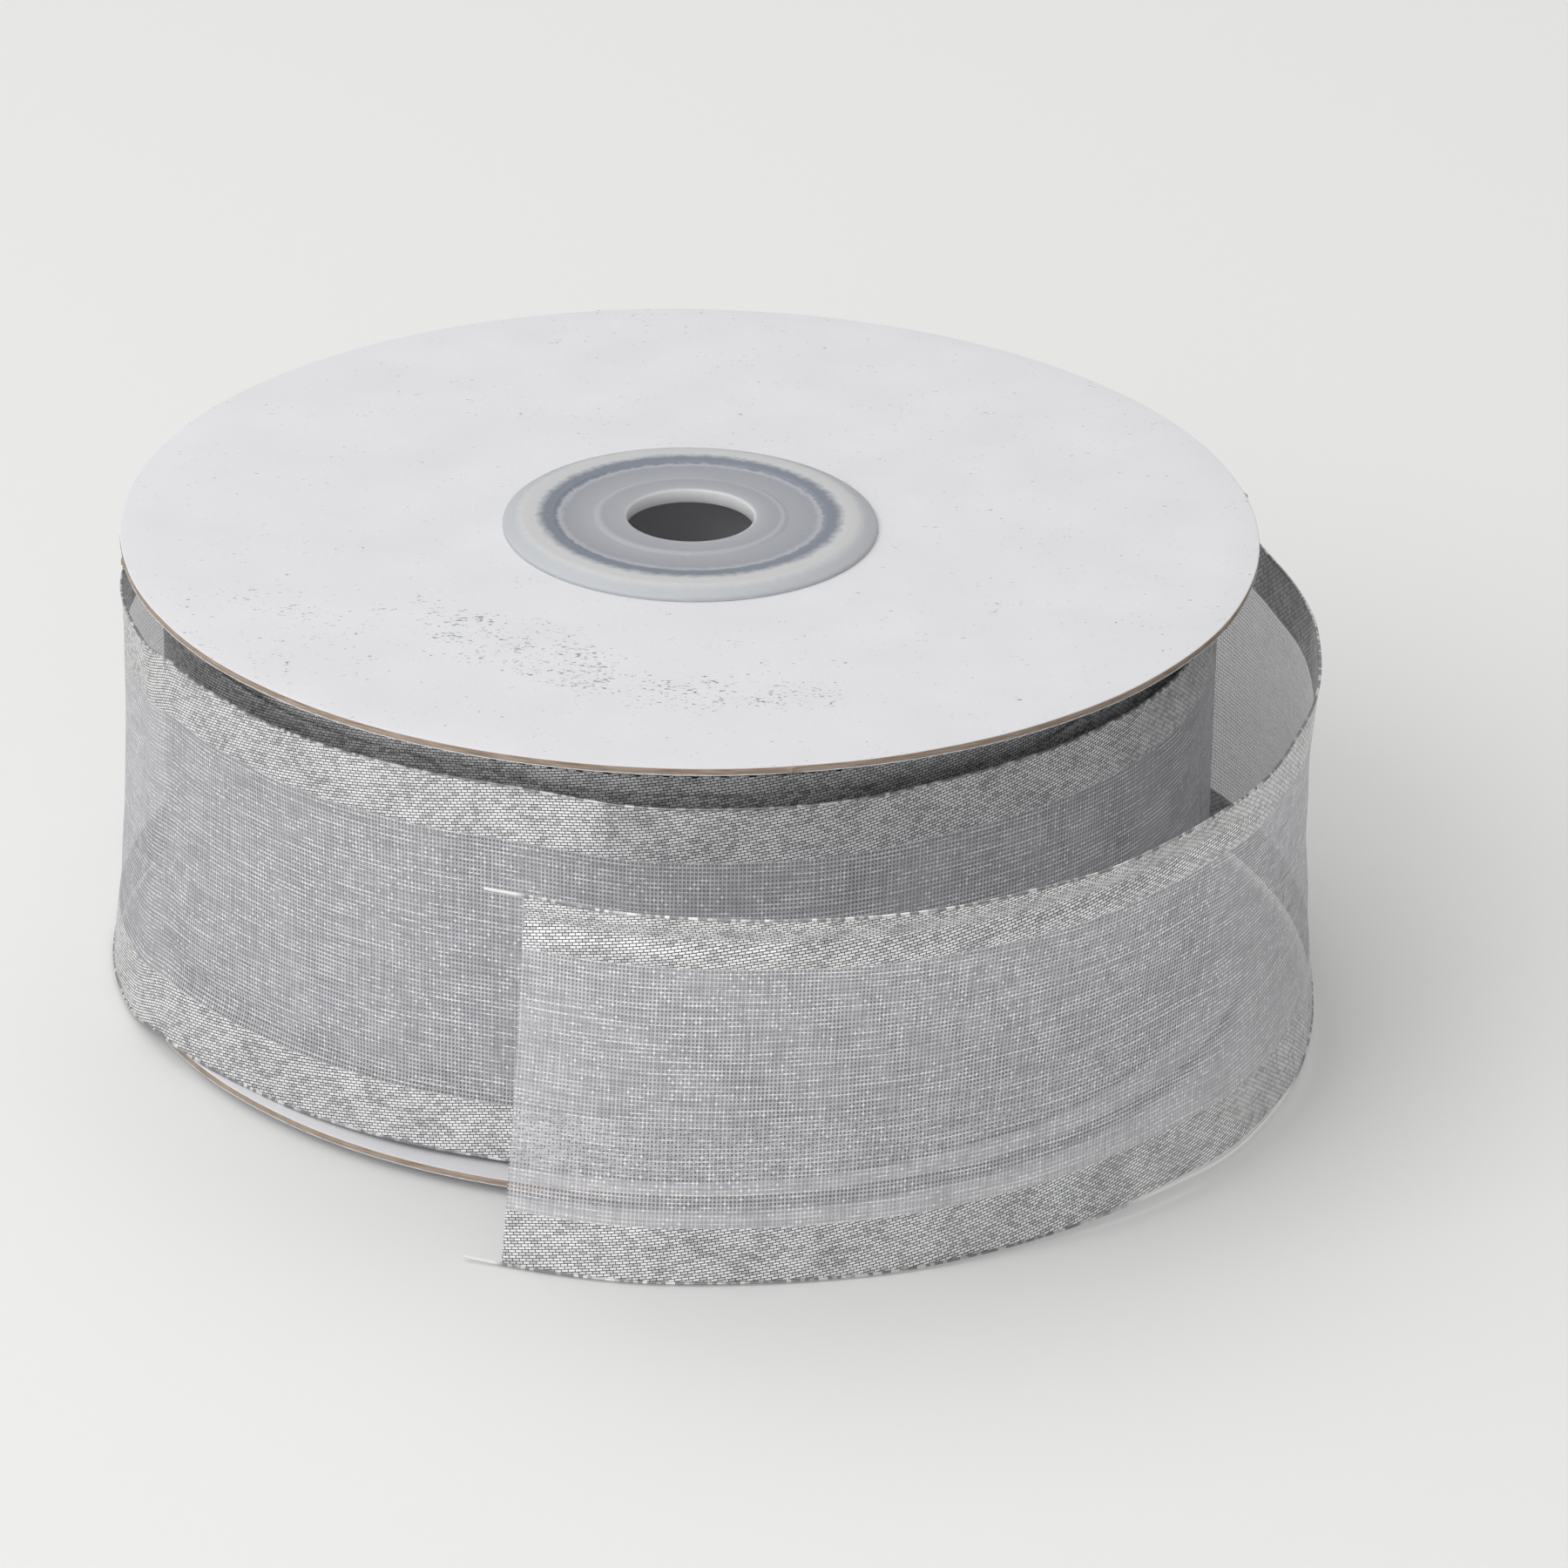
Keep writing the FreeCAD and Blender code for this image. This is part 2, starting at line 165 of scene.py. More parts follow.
@dataclass(frozen=True)
class LinerPaper:
    """Clay-coated white liner paper: matt, faintly cool, with a fine calendered tooth.

    Where ribbon was drawn over it, its metal has rubbed off in soft patches of silver specks. Each
    patch has a middle and a reach in millimetres, a turn in degrees and a density.
    """

    name: str = "liner_paper"
    colour: str = "d6d6d9"
    roughness: float = 0.62
    tooth_mm: float = 0.35
    mottle_mm: float = 9.0
    scuffed: bool = False
    rubbed: str = "7c7e80"
    rubbed_roughness: float = 0.38
    speck_mm: float = 0.30
    cloud_mm: float = 2.2
    patches: tuple[tuple[tuple[float, ...], tuple[float, ...], float, float], ...] = (
        ((-14.5, -29.5, UPPER_FACE), (20.0, 7.5, 9.0), -42.0, 0.120),
        ((3.0, -38.0, UPPER_FACE), (17.0, 5.5, 9.0), 0.0, 0.105),
        ((-40.0, -26.0, UPPER_FACE), (16.0, 14.0, 9.0), 0.0, 0.05),
    )

    def build(self) -> bpy.types.Material:
        """Makes the material: mottled white, with silver rubbed off the ribbon if scuffed."""
        material, tree, output = new_material(self.name)
        place = add_node(tree, "ShaderNodeTexCoord")
        mottle = add_node(
            tree, "ShaderNodeTexNoise",
            {"Vector": place.outputs["Object"], "Scale": 1 / (self.mottle_mm * MM), "Detail": 3.0},
        )
        colour = mottled(tree, mottle, linear(self.colour)[:3], 0.965, 1.015)
        rough: Any = self.roughness
        if self.scuffed:
            mask = self.scuff_mask(tree, place.outputs["Object"])
            colour = add_node(
                tree, "ShaderNodeMix", {0: mask, 6: colour, 7: linear(self.rubbed)}, data_type="RGBA"
            ).outputs[2]
            rough = add_node(
                tree, "ShaderNodeMapRange", {0: mask, 3: self.roughness, 4: self.rubbed_roughness}
            )
        tooth = add_node(
            tree, "ShaderNodeTexNoise",
            {"Vector": place.outputs["Object"], "Scale": 1 / (self.tooth_mm * MM), "Detail": 2.0},
        )
        bump = add_node(
            tree, "ShaderNodeBump", {"Strength": 0.12, "Distance": 0.05 * MM, "Height": tooth}
        )
        shader = add_node(
            tree, "ShaderNodeBsdfPrincipled",
            {"Base Color": colour, "Roughness": rough, "Normal": bump, "Specular IOR Level": 0.35},
        )
        tree.links.new(shader.outputs[0], output.inputs[0])
        return material

    def scuff_mask(self, tree: bpy.types.NodeTree, place: bpy.types.NodeSocket) -> bpy.types.Node:
        """Mask of the silver specks: fine drawn-out noise cut high, inside soft patches.

        Args:
            tree: The material's node tree.
            place: Socket with the object coordinates.

        Returns:
            The node whose first output is one on a speck.
        """
        masks: list[bpy.types.Node] = []
        for middle, reach, turn, density in self.patches:
            local = add_node(
                tree, "ShaderNodeMapping",
                {
                    "Vector": place, "Location": [m * MM for m in middle],
                    "Rotation": (0.0, 0.0, math.radians(turn)), "Scale": [r * MM for r in reach],
                },
                vector_type="TEXTURE",
            )
            far = add_node(tree, "ShaderNodeVectorMath", {0: local}, operation="LENGTH")
            masks.append(
                add_node(
                    tree, "ShaderNodeMapRange",
                    {0: far.outputs[1], 1: 0.45, 2: 1.0, 3: density, 4: 0.0},
                )
            )
        near = masks[0]
        for mask in masks[1:]:
            near = add_node(tree, "ShaderNodeMath", {0: near, 1: mask}, operation="MAXIMUM")
        drawn = add_node(
            tree, "ShaderNodeVectorMath", {0: place, 1: (0.55, 1.0, 1.0)}, operation="MULTIPLY"
        )
        specks = add_node(
            tree, "ShaderNodeTexNoise",
            {"Vector": drawn, "Scale": 1 / (self.speck_mm * MM), "Detail": 2.0, "Roughness": 0.6},
        )
        clouds = add_node(
            tree, "ShaderNodeTexNoise",
            {"Vector": place, "Scale": 1 / (self.cloud_mm * MM), "Detail": 2.0},
        )
        lifted = add_node(
            tree, "ShaderNodeMath", {0: clouds, 1: 0.30, 2: near}, operation="MULTIPLY_ADD"
        )
        level = add_node(tree, "ShaderNodeMath", {0: specks, 1: lifted}, operation="ADD")
        return add_node(tree, "ShaderNodeMapRange", {0: level, 1: 0.85, 2: 0.94})


@dataclass(frozen=True)
class Chipboard:
    """Recycled grey-brown chipboard, die cut: the edge shows its pressed layers and fibres."""

    name: str = "chipboard_edge"
    light: str = "ab9c8b"
    dark: str = "83705f"
    fibres_per_m: tuple[float, float, float] = (350.0, 350.0, 5200.0)

    def build(self) -> bpy.types.Material:
        """Makes the material: fibres drawn out along the rim, layered through the thickness."""
        material, tree, output = new_material(self.name)
        place = add_node(tree, "ShaderNodeTexCoord")
        drawn = add_node(
            tree, "ShaderNodeMapping",
            {"Vector": place.outputs["Object"], "Scale": self.fibres_per_m},
        )
        fibres = add_node(
            tree, "ShaderNodeTexNoise", {"Vector": drawn, "Scale": 1.0, "Detail": 4.0, "Roughness": 0.65}
        )
        tone = add_node(tree, "ShaderNodeMapRange", {0: fibres, 1: 0.33, 2: 0.66})
        colour = add_node(
            tree, "ShaderNodeMix", {0: tone, 6: linear(self.dark), 7: linear(self.light)},
            data_type="RGBA",
        )
        bump = add_node(
            tree, "ShaderNodeBump", {"Strength": 0.6, "Distance": 0.08 * MM, "Height": fibres}
        )
        shader = add_node(
            tree, "ShaderNodeBsdfPrincipled",
            {"Base Color": colour.outputs[2], "Roughness": 0.92, "Normal": bump},
        )
        tree.links.new(shader.outputs[0], output.inputs[0])
        return material


@dataclass(frozen=True)
class NaturalPolypropylene:
    """Unpigmented moulded polypropylene: milky, bluish where it is thick or over a dark hollow.

    The tone goes in rings about the axis, from the bore's wall to the collar's sloping flank. The
    light through the plastic is painted: a painted shade in the dark ring over the skirt and tube,
    and a painted glow on the bore's wall.
    """

    name: str = "natural_polypropylene"
    # The bore's wall is painted white: a painted glow of light through the plastic.
    bore_wall_painted_glow: str = "ffffff"
    disc: str = "c6c8cd"
    groove: str = "bcbec4"
    bead: str = "cdcfd4"
    step: str = "b9bcc3"
    step_edge: str = "d3d5d9"
    # Dark ring where the skirt and the paper tube show through the plastic: painted shade.
    shade: str = "98a0ac"
    collar: str = "f6f6f7"
    flank: str = "e6eaf0"
    inside: str = "e4e4e8"
    dust: str = "f2f2f4"
    ring_span: tuple[float, float] = (5.0, 19.0)

    def build(self) -> bpy.types.Material:
        """Makes the material: rings of milkiness by distance from the axis."""
        material, tree, output = new_material(self.name)
        place = add_node(tree, "ShaderNodeTexCoord")
        flat = add_node(
            tree, "ShaderNodeVectorMath",
            {0: place.outputs["Object"], 1: (1 / MM, 1 / MM, 0.0)}, operation="MULTIPLY",
        )
        solid = add_node(
            tree, "ShaderNodeVectorMath", {0: place.outputs["Object"], "Scale": 1 / MM},
            operation="SCALE",
        )
        ragged = add_node(tree, "ShaderNodeTexNoise", {"Vector": flat, "Scale": 1.1, "Detail": 4.0})
        radius = add_node(tree, "ShaderNodeVectorMath", {0: flat}, operation="LENGTH")
        centred = add_node(tree, "ShaderNodeMath", {0: ragged, 1: 0.5}, operation="SUBTRACT")
        reach = add_node(
            tree, "ShaderNodeMapRange", {0: radius.outputs[1], 1: 7.0, 2: 12.0, 4: 1.0}
        )
        torn = add_node(tree, "ShaderNodeMath", {0: centred, 1: reach}, operation="MULTIPLY")
        torn = add_node(tree, "ShaderNodeMath", {0: torn, 1: radius.outputs[1]}, operation="ADD")
        first, last = self.ring_span
        share = add_node(tree, "ShaderNodeMapRange", {0: torn, 1: first, 2: last})
        height = add_node(tree, "ShaderNodeSeparateXYZ", {0: place.outputs["Object"]})
        off_middle = add_node(
            tree, "ShaderNodeMath", {0: height.outputs[2], 1: SPOOL_HEIGHT / 2 * MM},
            operation="SUBTRACT",
        )
        off_middle = add_node(tree, "ShaderNodeMath", {0: off_middle}, operation="ABSOLUTE")
        face = (UPPER_FACE - SPOOL_HEIGHT / 2) * MM
        shown = add_node(
            tree, "ShaderNodeMapRange", {0: off_middle, 1: face - 0.9 * MM, 2: face - 0.5 * MM}
        )
        rings = add_node(tree, "ShaderNodeValToRGB", {0: share})
        stops = (
            (5.0, self.bore_wall_painted_glow), (6.092, self.bore_wall_painted_glow), (6.33, self.disc), (8.36, self.groove),
            (8.78, self.bead), (9.2, self.disc), (11.86, self.step), (12.42, self.step_edge),
            (12.84, self.shade), (13.82, self.shade), (14.8, self.collar), (16.06, self.collar),
            (16.76, self.flank),
        )
        ramp = rings.color_ramp
        for index, (ring_radius, tint) in enumerate(stops):
            at = (ring_radius - first) / (last - first)
            stop = ramp.elements[index] if index < 2 else ramp.elements.new(at)
            stop.position = at
            stop.color = linear(tint)
        within = add_node(
            tree, "ShaderNodeMix", {0: shown, 6: linear(self.inside), 7: rings.outputs[0]},
            data_type="RGBA",
        )
        specks = add_node(
            tree, "ShaderNodeTexNoise", {"Vector": solid, "Scale": 2.6, "Detail": 3.0, "Roughness": 0.7}
        )
        dust = add_node(tree, "ShaderNodeMapRange", {0: specks, 1: 0.68, 2: 0.74, 3: 0.0, 4: 0.7})
        colour = add_node(
            tree, "ShaderNodeMix", {0: dust, 6: within.outputs[2], 7: linear(self.dust)},
            data_type="RGBA",
        )
        bump = add_node(
            tree, "ShaderNodeBump", {"Strength": 0.05, "Distance": 0.1 * MM, "Height": specks}
        )
        shader = add_node(
            tree, "ShaderNodeBsdfPrincipled",
            {
                "Base Color": colour.outputs[2], "Roughness": 0.30, "IOR": 1.49, "Normal": bump,
                "Subsurface Weight": 0.6, "Subsurface Scale": 2.0 * MM,
                "Subsurface Radius": (1.0, 1.0, 1.0),
            },
        )
        glow = add_node(tree, "ShaderNodeBsdfTranslucent", {"Color": colour.outputs[2]})
        milky = add_node(tree, "ShaderNodeMixShader", {0: 0.4, 1: shader, 2: glow})
        tree.links.new(milky.outputs[0], output.inputs[0])
        return material


@dataclass(frozen=True)
class PlainFinish:
    """An even finish with a little tooth, for pieces that hardly show."""

    name: str
    colour: str
    roughness: float
    grain_mm: float = 0.6

    def build(self) -> bpy.types.Material:
        """Makes the material: one tone, mottled and dimpled at the grain's size."""
        material, tree, output = new_material(self.name)
        place = add_node(tree, "ShaderNodeTexCoord")
        grain = add_node(
            tree, "ShaderNodeTexNoise",
            {"Vector": place.outputs["Object"], "Scale": 1 / (self.grain_mm * MM), "Detail": 3.0},
        )
        colour = mottled(tree, grain, linear(self.colour)[:3], 0.9, 1.08)
        bump = add_node(
            tree, "ShaderNodeBump", {"Strength": 0.2, "Distance": 0.05 * MM, "Height": grain}
        )
        shader = add_node(
            tree, "ShaderNodeBsdfPrincipled",
            {"Base Color": colour, "Roughness": self.roughness, "Normal": bump},
        )
        tree.links.new(shader.outputs[0], output.inputs[0])
        return material


@dataclass(frozen=True)
class SilverOrganza:
    """Nylon organza with metallised warp threads, and a border of silver satin at each edge.

    The cloth carries its own coordinates in millimetres, along and across the ribbon, in the
    attribute "weave_mm", so the weave follows every turn. Warp threads run along the ribbon. The
    satin's floats are drawn a little coarser than real ones, so that they show. A flash is a painted
    highlight: the length in millimetres of a bright stretch of warp, and the share of the stretches
    that shine. The metallised threads are real; their bright stretches and glints are painted light.
    """

    name: str = "silver_organza"
    warp_mm: float = 0.43
    weft_mm: float = 0.36
    float_mm: float = 0.62
    row_mm: float = 0.29
    float_slant_deg: float = -10.0
    sheer: str = "d6d5d9"
    # Tone of the holes between threads: painted shade.
    shaded: str = "a6a5aa"
    # Near-white colour of the painted highlights on warps and the painted glints at crossings.
    painted_streak: str = "fcfcfc"
    # Floats pick one of these two at random: partly the satin's own tone, partly a painted glint of
    # floats that catch the light.
    satin_light: str = "ffffff"
    satin_dark: str = "969698"
    gap: str = "161618"
    satin_metal: float = 0.78
    thread_cover: float = 0.82
    hole_cover: float = 0.36
    long_flash: tuple[float, float] = (5.2, 0.19)
    short_flash: tuple[float, float] = (1.6, 0.28)
    flash_metal: float = 0.55
    border_softness_mm: float = 0.08
    backed: bool = False

    def build(self) -> bpy.types.Material:
        """Makes the material: sheer ground in the middle, satin within the borders."""
        material, tree, output = new_material(self.name)
        cloth = add_node(tree, "ShaderNodeAttribute", attribute_name="weave_mm").outputs["Vector"]
        drift = add_node(tree, "ShaderNodeTexNoise", {"Vector": cloth, "Scale": 0.05, "Detail": 1.0})
        drift = add_node(
            tree, "ShaderNodeVectorMath", {0: drift.outputs["Color"], "Scale": 0.3}, operation="SCALE"
        )
        thread = add_node(tree, "ShaderNodeVectorMath", {0: cloth, 1: drift}, operation="ADD")
        ground_colour, ground_cover, ground_metal = self.ground(tree, thread)
        satin_colour, satin_height = self.satin(tree, thread)
        border = self.border_mask(tree, cloth)
        colour = add_node(
            tree, "ShaderNodeMix", {0: border, 6: ground_colour, 7: satin_colour}, data_type="RGBA"
        )
        metal = add_node(tree, "ShaderNodeMix", {0: border, 2: ground_metal, 3: self.satin_metal})
        cover = add_node(tree, "ShaderNodeMix", {0: border, 2: ground_cover, 3: 1.0})
        relief = add_node(tree, "ShaderNodeMix", {0: border, 2: ground_cover, 3: satin_height})
        bump = add_node(
            tree, "ShaderNodeBump", {"Strength": 0.5, "Distance": 0.10 * MM, "Height": relief}
        )
        inputs: dict[int | str, Any] = {
            "Base Color": colour.outputs[2], "Metallic": metal, "Roughness": 0.40, "Normal": bump,
            "Anisotropic": 0.75, "Anisotropic Rotation": 0.25,
            "Tangent": add_node(
                tree, "ShaderNodeAttribute", attribute_name="warp_direction"
            ).outputs["Vector"],
        }
        if not self.backed:
            inputs["Alpha"] = cover
        shader = add_node(tree, "ShaderNodeBsdfPrincipled", inputs)
        if not self.backed:
            through = add_node(tree, "ShaderNodeBsdfTranslucent", {"Color": colour.outputs[2]})
            thin = add_node(tree, "ShaderNodeMix", {0: border, 2: 0.22, 3: 0.06})
            share = add_node(tree, "ShaderNodeMath", {0: thin, 1: cover}, operation="MULTIPLY")
            shader = add_node(tree, "ShaderNodeMixShader", {0: share, 1: shader, 2: through})
        tree.links.new(shader.outputs[0], output.inputs[0])
        return material

    def ground(
        self, tree: bpy.types.NodeTree, thread: bpy.types.Node
    ) -> tuple[bpy.types.NodeSocket, bpy.types.Node, bpy.types.Node]:
        """Sheer ground: a grid of threads with small holes in a painted shade, with painted highlights
        and glints.

        Args:
            tree: The material's node tree.
            thread: Node with the cloth coordinates, drifting a little as woven threads do.

        Returns:
            The colour, how much the cloth covers, and how metallic it is.
        """
        grid = add_node(
            tree, "ShaderNodeTexBrick",
            {
                "Vector": thread, "Scale": 1.0, "Mortar Size": 0.27 * self.weft_mm,
                "Mortar Smooth": 0.5, "Brick Width": self.weft_mm, "Row Height": self.warp_mm,
            },
            offset=0.0, squash=1.0,
        )
        covered = add_node(
            tree, "ShaderNodeMapRange",
            {0: grid.outputs["Fac"], 3: self.hole_cover, 4: self.thread_cover},
        )
        long = self.painted_highlight_warps(tree, thread, *self.long_flash)
        short = self.painted_highlight_warps(tree, thread, *self.short_flash)
        flash = add_node(tree, "ShaderNodeMath", {0: long, 1: short}, operation="MAXIMUM")
        flash = add_node(
            tree, "ShaderNodeMath", {0: flash, 1: self.painted_glints(tree, thread)},
            operation="MAXIMUM",
        )
        # Painted shade: the holes between the threads take the darker shaded tone.
        shade = add_node(
            tree, "ShaderNodeMix",
            {0: grid.outputs["Fac"], 6: linear(self.shaded), 7: linear(self.sheer)},
            data_type="RGBA",
        )
        uneven = add_node(
            tree, "ShaderNodeVectorMath",
            {0: shade.outputs[2], "Scale": self.unevenness(tree, thread)}, operation="SCALE",
        )
        # Painted highlights and glints: where warps flash or crossings glint, the colour goes
        # near-white.
        colour = add_node(
            tree, "ShaderNodeMix", {0: flash, 6: uneven.outputs[0], 7: linear(self.painted_streak)},
            data_type="RGBA",
        )
        cover = add_node(
            tree, "ShaderNodeMath", {0: flash, 1: 0.3, 2: covered}, operation="MULTIPLY_ADD",
            use_clamp=True,
        )
        metal = add_node(
            tree, "ShaderNodeMath", {0: flash, 1: self.flash_metal}, operation="MULTIPLY"
        )
        return colour.outputs[2], cover, metal

    def unevenness(self, tree: bpy.types.NodeTree, thread: bpy.types.Node) -> bpy.types.Node:
        """Brightness of the single wefts and warps, which are never all alike.

        Args:
            tree: The material's node tree.
            thread: Node with the cloth coordinates.

        Returns:
            The node whose first output is a factor near one.
        """
        parts: list[bpy.types.Node] = []
        for stretch in ((2.2, 0.22, 0.0), (0.16, 1.9, 0.0)):
            drawn = add_node(
                tree, "ShaderNodeVectorMath", {0: thread, 1: stretch}, operation="MULTIPLY"
            )
            parts.append(
                add_node(
                    tree, "ShaderNodeTexNoise", {"Vector": drawn, "Scale": 1.0, "Detail": 2.0},
                    noise_dimensions="2D",
                )
            )
        both = add_node(tree, "ShaderNodeMath", {0: parts[0], 1: parts[1]}, operation="ADD")
        return add_node(tree, "ShaderNodeMapRange", {0: both, 1: 0.7, 2: 1.3, 3: 0.78, 4: 1.16})

    def painted_highlight_warps(
        self, tree: bpy.types.NodeTree, thread: bpy.types.Node, length_mm: float, share: float
    ) -> bpy.types.Node:
        """Painted highlights: bright stretches of single warp threads.

        A thread's number is its place across over the warp spacing, rounded. One random number
        slides the thread's stretches along it, and another picks the few that shine. A thread
        dips under every second weft, and its neighbours dip between.

        Args:
            tree: The material's node tree.
            thread: Node with the cloth coordinates.
            length_mm: Length of a stretch.
            share: How many of the stretches shine.

        Returns:
            The node whose first output is one on a shining thread.
        """
        place = add_node(tree, "ShaderNodeSeparateXYZ", {0: thread})
        count = add_node(
            tree, "ShaderNodeMath", {0: place.outputs[1], 1: 1 / self.warp_mm, 2: 0.5},
            operation="MULTIPLY_ADD",
        )
        number = add_node(tree, "ShaderNodeMath", {0: count}, operation="FLOOR")
        slide = add_node(tree, "ShaderNodeTexWhiteNoise", {"W": number}, noise_dimensions="1D")
        along = add_node(
            tree, "ShaderNodeMath", {0: place.outputs[0], 1: 1 / length_mm, 2: slide},
            operation="MULTIPLY_ADD",
        )
        stretch = add_node(tree, "ShaderNodeMath", {0: along}, operation="FLOOR")
        cell = add_node(tree, "ShaderNodeCombineXYZ", {0: stretch, 1: number, 2: length_mm})
        pick = add_node(tree, "ShaderNodeTexWhiteNoise", {"Vector": cell}, noise_dimensions="3D")
        shining = add_node(tree, "ShaderNodeMapRange", {0: pick, 1: 1 - share, 3: 0.25, 4: 0.95})
        through = add_node(tree, "ShaderNodeMath", {0: along, 1: 0.5}, operation="PINGPONG")
        fading = add_node(tree, "ShaderNodeMapRange", {0: through, 1: 0.0, 2: 0.2})
        picked = add_node(tree, "ShaderNodeMath", {0: pick, 1: 1 - share}, operation="GREATER_THAN")
        fading = add_node(tree, "ShaderNodeMath", {0: picked, 1: fading}, operation="MULTIPLY")
        shining = add_node(tree, "ShaderNodeMath", {0: shining, 1: fading}, operation="MULTIPLY")
        passed = add_node(
            tree, "ShaderNodeMath", {0: place.outputs[0], 1: 1 / self.weft_mm, 2: number},
            operation="MULTIPLY_ADD",
        )
        over = add_node(tree, "ShaderNodeMath", {0: passed, 1: 1.0}, operation="PINGPONG")
        over = add_node(tree, "ShaderNodeMapRange", {0: over, 1: 0.25, 2: 0.65, 3: 0.3, 4: 1.0})
        shining = add_node(tree, "ShaderNodeMath", {0: shining, 1: over}, operation="MULTIPLY")
        crossed = add_node(tree, "ShaderNodeMath", {0: count}, operation="FRACT")
        aside = add_node(tree, "ShaderNodeMath", {0: crossed, 1: 0.5}, operation="SUBTRACT")
        aside = add_node(tree, "ShaderNodeMath", {0: aside}, operation="ABSOLUTE")
        line = add_node(tree, "ShaderNodeMapRange", {0: aside, 1: 0.22, 2: 0.10})
        return add_node(tree, "ShaderNodeMath", {0: shining, 1: line}, operation="MULTIPLY")

    def painted_glints(self, tree: bpy.types.NodeTree, thread: bpy.types.Node) -> bpy.types.Node:
        """Painted glints: single bright crossings of threads, gathered in clusters some millimetres
        wide.

        Args:
            tree: The material's node tree.
            thread: Node with the cloth coordinates.

        Returns:
            The node whose first output is one on a glint.
        """
        cells = add_node(
            tree, "ShaderNodeVectorMath",
            {0: thread, 1: (1 / self.weft_mm, 1 / self.warp_mm, 0.0), 2: (0.5, 0.5, 0.0)},
            operation="MULTIPLY_ADD",
        )
        numbers = add_node(tree, "ShaderNodeVectorMath", {0: cells}, operation="FLOOR")
        pick = add_node(tree, "ShaderNodeTexWhiteNoise", {"Vector": numbers}, noise_dimensions="2D")
        cluster = add_node(
            tree, "ShaderNodeTexNoise", {"Vector": thread, "Scale": 0.16, "Detail": 1.0},
            noise_dimensions="2D",
        )
        level = add_node(
            tree, "ShaderNodeMath", {0: cluster, 1: 0.30, 2: pick}, operation="MULTIPLY_ADD"
        )
        bright = add_node(tree, "ShaderNodeMapRange", {0: level, 1: 1.04, 2: 1.12})
        inside = add_node(tree, "ShaderNodeVectorMath", {0: cells}, operation="FRACTION")
        aside = add_node(
            tree, "ShaderNodeVectorMath", {0: inside, 1: (0.5, 0.5, 0.0)}, operation="DISTANCE"
        )
        dot = add_node(tree, "ShaderNodeMapRange", {0: aside.outputs[1], 1: 0.42, 2: 0.20})
        return add_node(tree, "ShaderNodeMath", {0: bright, 1: dot}, operation="MULTIPLY")

    def satin(
        self, tree: bpy.types.NodeTree, thread: bpy.types.Node
    ) -> tuple[bpy.types.NodeSocket, bpy.types.Node]:
        """Satin border: short slanting floats in staggered rows, each with its own brightness, partly
        the satin's own tone and partly painted glints.

        Args:
            tree: The material's node tree.
            thread: Node with the cloth coordinates.

        Returns:
            The colour and the height of the floats.
        """
        turned = add_node(
            tree, "ShaderNodeMapping",
            {"Vector": thread, "Rotation": (0.0, 0.0, math.radians(self.float_slant_deg))},
        )
        floats = add_node(
            tree, "ShaderNodeTexBrick",
            {
                "Vector": turned, "Color1": linear(self.satin_dark),
                "Color2": linear(self.satin_light), "Mortar": linear(self.gap), "Scale": 1.0,
                "Mortar Size": 0.05, "Mortar Smooth": 0.6, "Bias": 0.45,
                "Brick Width": self.float_mm, "Row Height": self.row_mm,
            },
            offset=0.5, offset_frequency=2, squash=1.0,
        )
        sweep = add_node(
            tree, "ShaderNodeTexNoise",
            {"Vector": thread, "Scale": 0.20, "Detail": 3.0, "Roughness": 0.6},
            noise_dimensions="2D",
        )
        colour = mottled(tree, sweep, floats.outputs["Color"], 0.84, 1.08)
        height = add_node(
            tree, "ShaderNodeMath", {0: 1.0, 1: floats.outputs["Fac"]}, operation="SUBTRACT"
        )
        return colour.outputs[0], height

    def border_mask(self, tree: bpy.types.NodeTree, cloth: bpy.types.NodeSocket) -> bpy.types.Node:
        """One within a satin border of either edge, zero in the sheer middle.

        Args:
            tree: The material's node tree.
            cloth: Socket with the cloth coordinates.

        Returns:
            The node whose first output is the mask.
        """
        across = add_node(tree, "ShaderNodeSeparateXYZ", {0: cloth})
        aside = add_node(
            tree, "ShaderNodeMath", {0: across.outputs[1], 1: RIBBON_WIDTH / 2},
            operation="SUBTRACT",
        )
        aside = add_node(tree, "ShaderNodeMath", {0: aside}, operation="ABSOLUTE")
        line, soft = RIBBON_WIDTH / 2 - SATIN_BORDER, self.border_softness_mm
        return add_node(tree, "ShaderNodeMapRange", {0: aside, 1: line - soft, 2: line + soft})


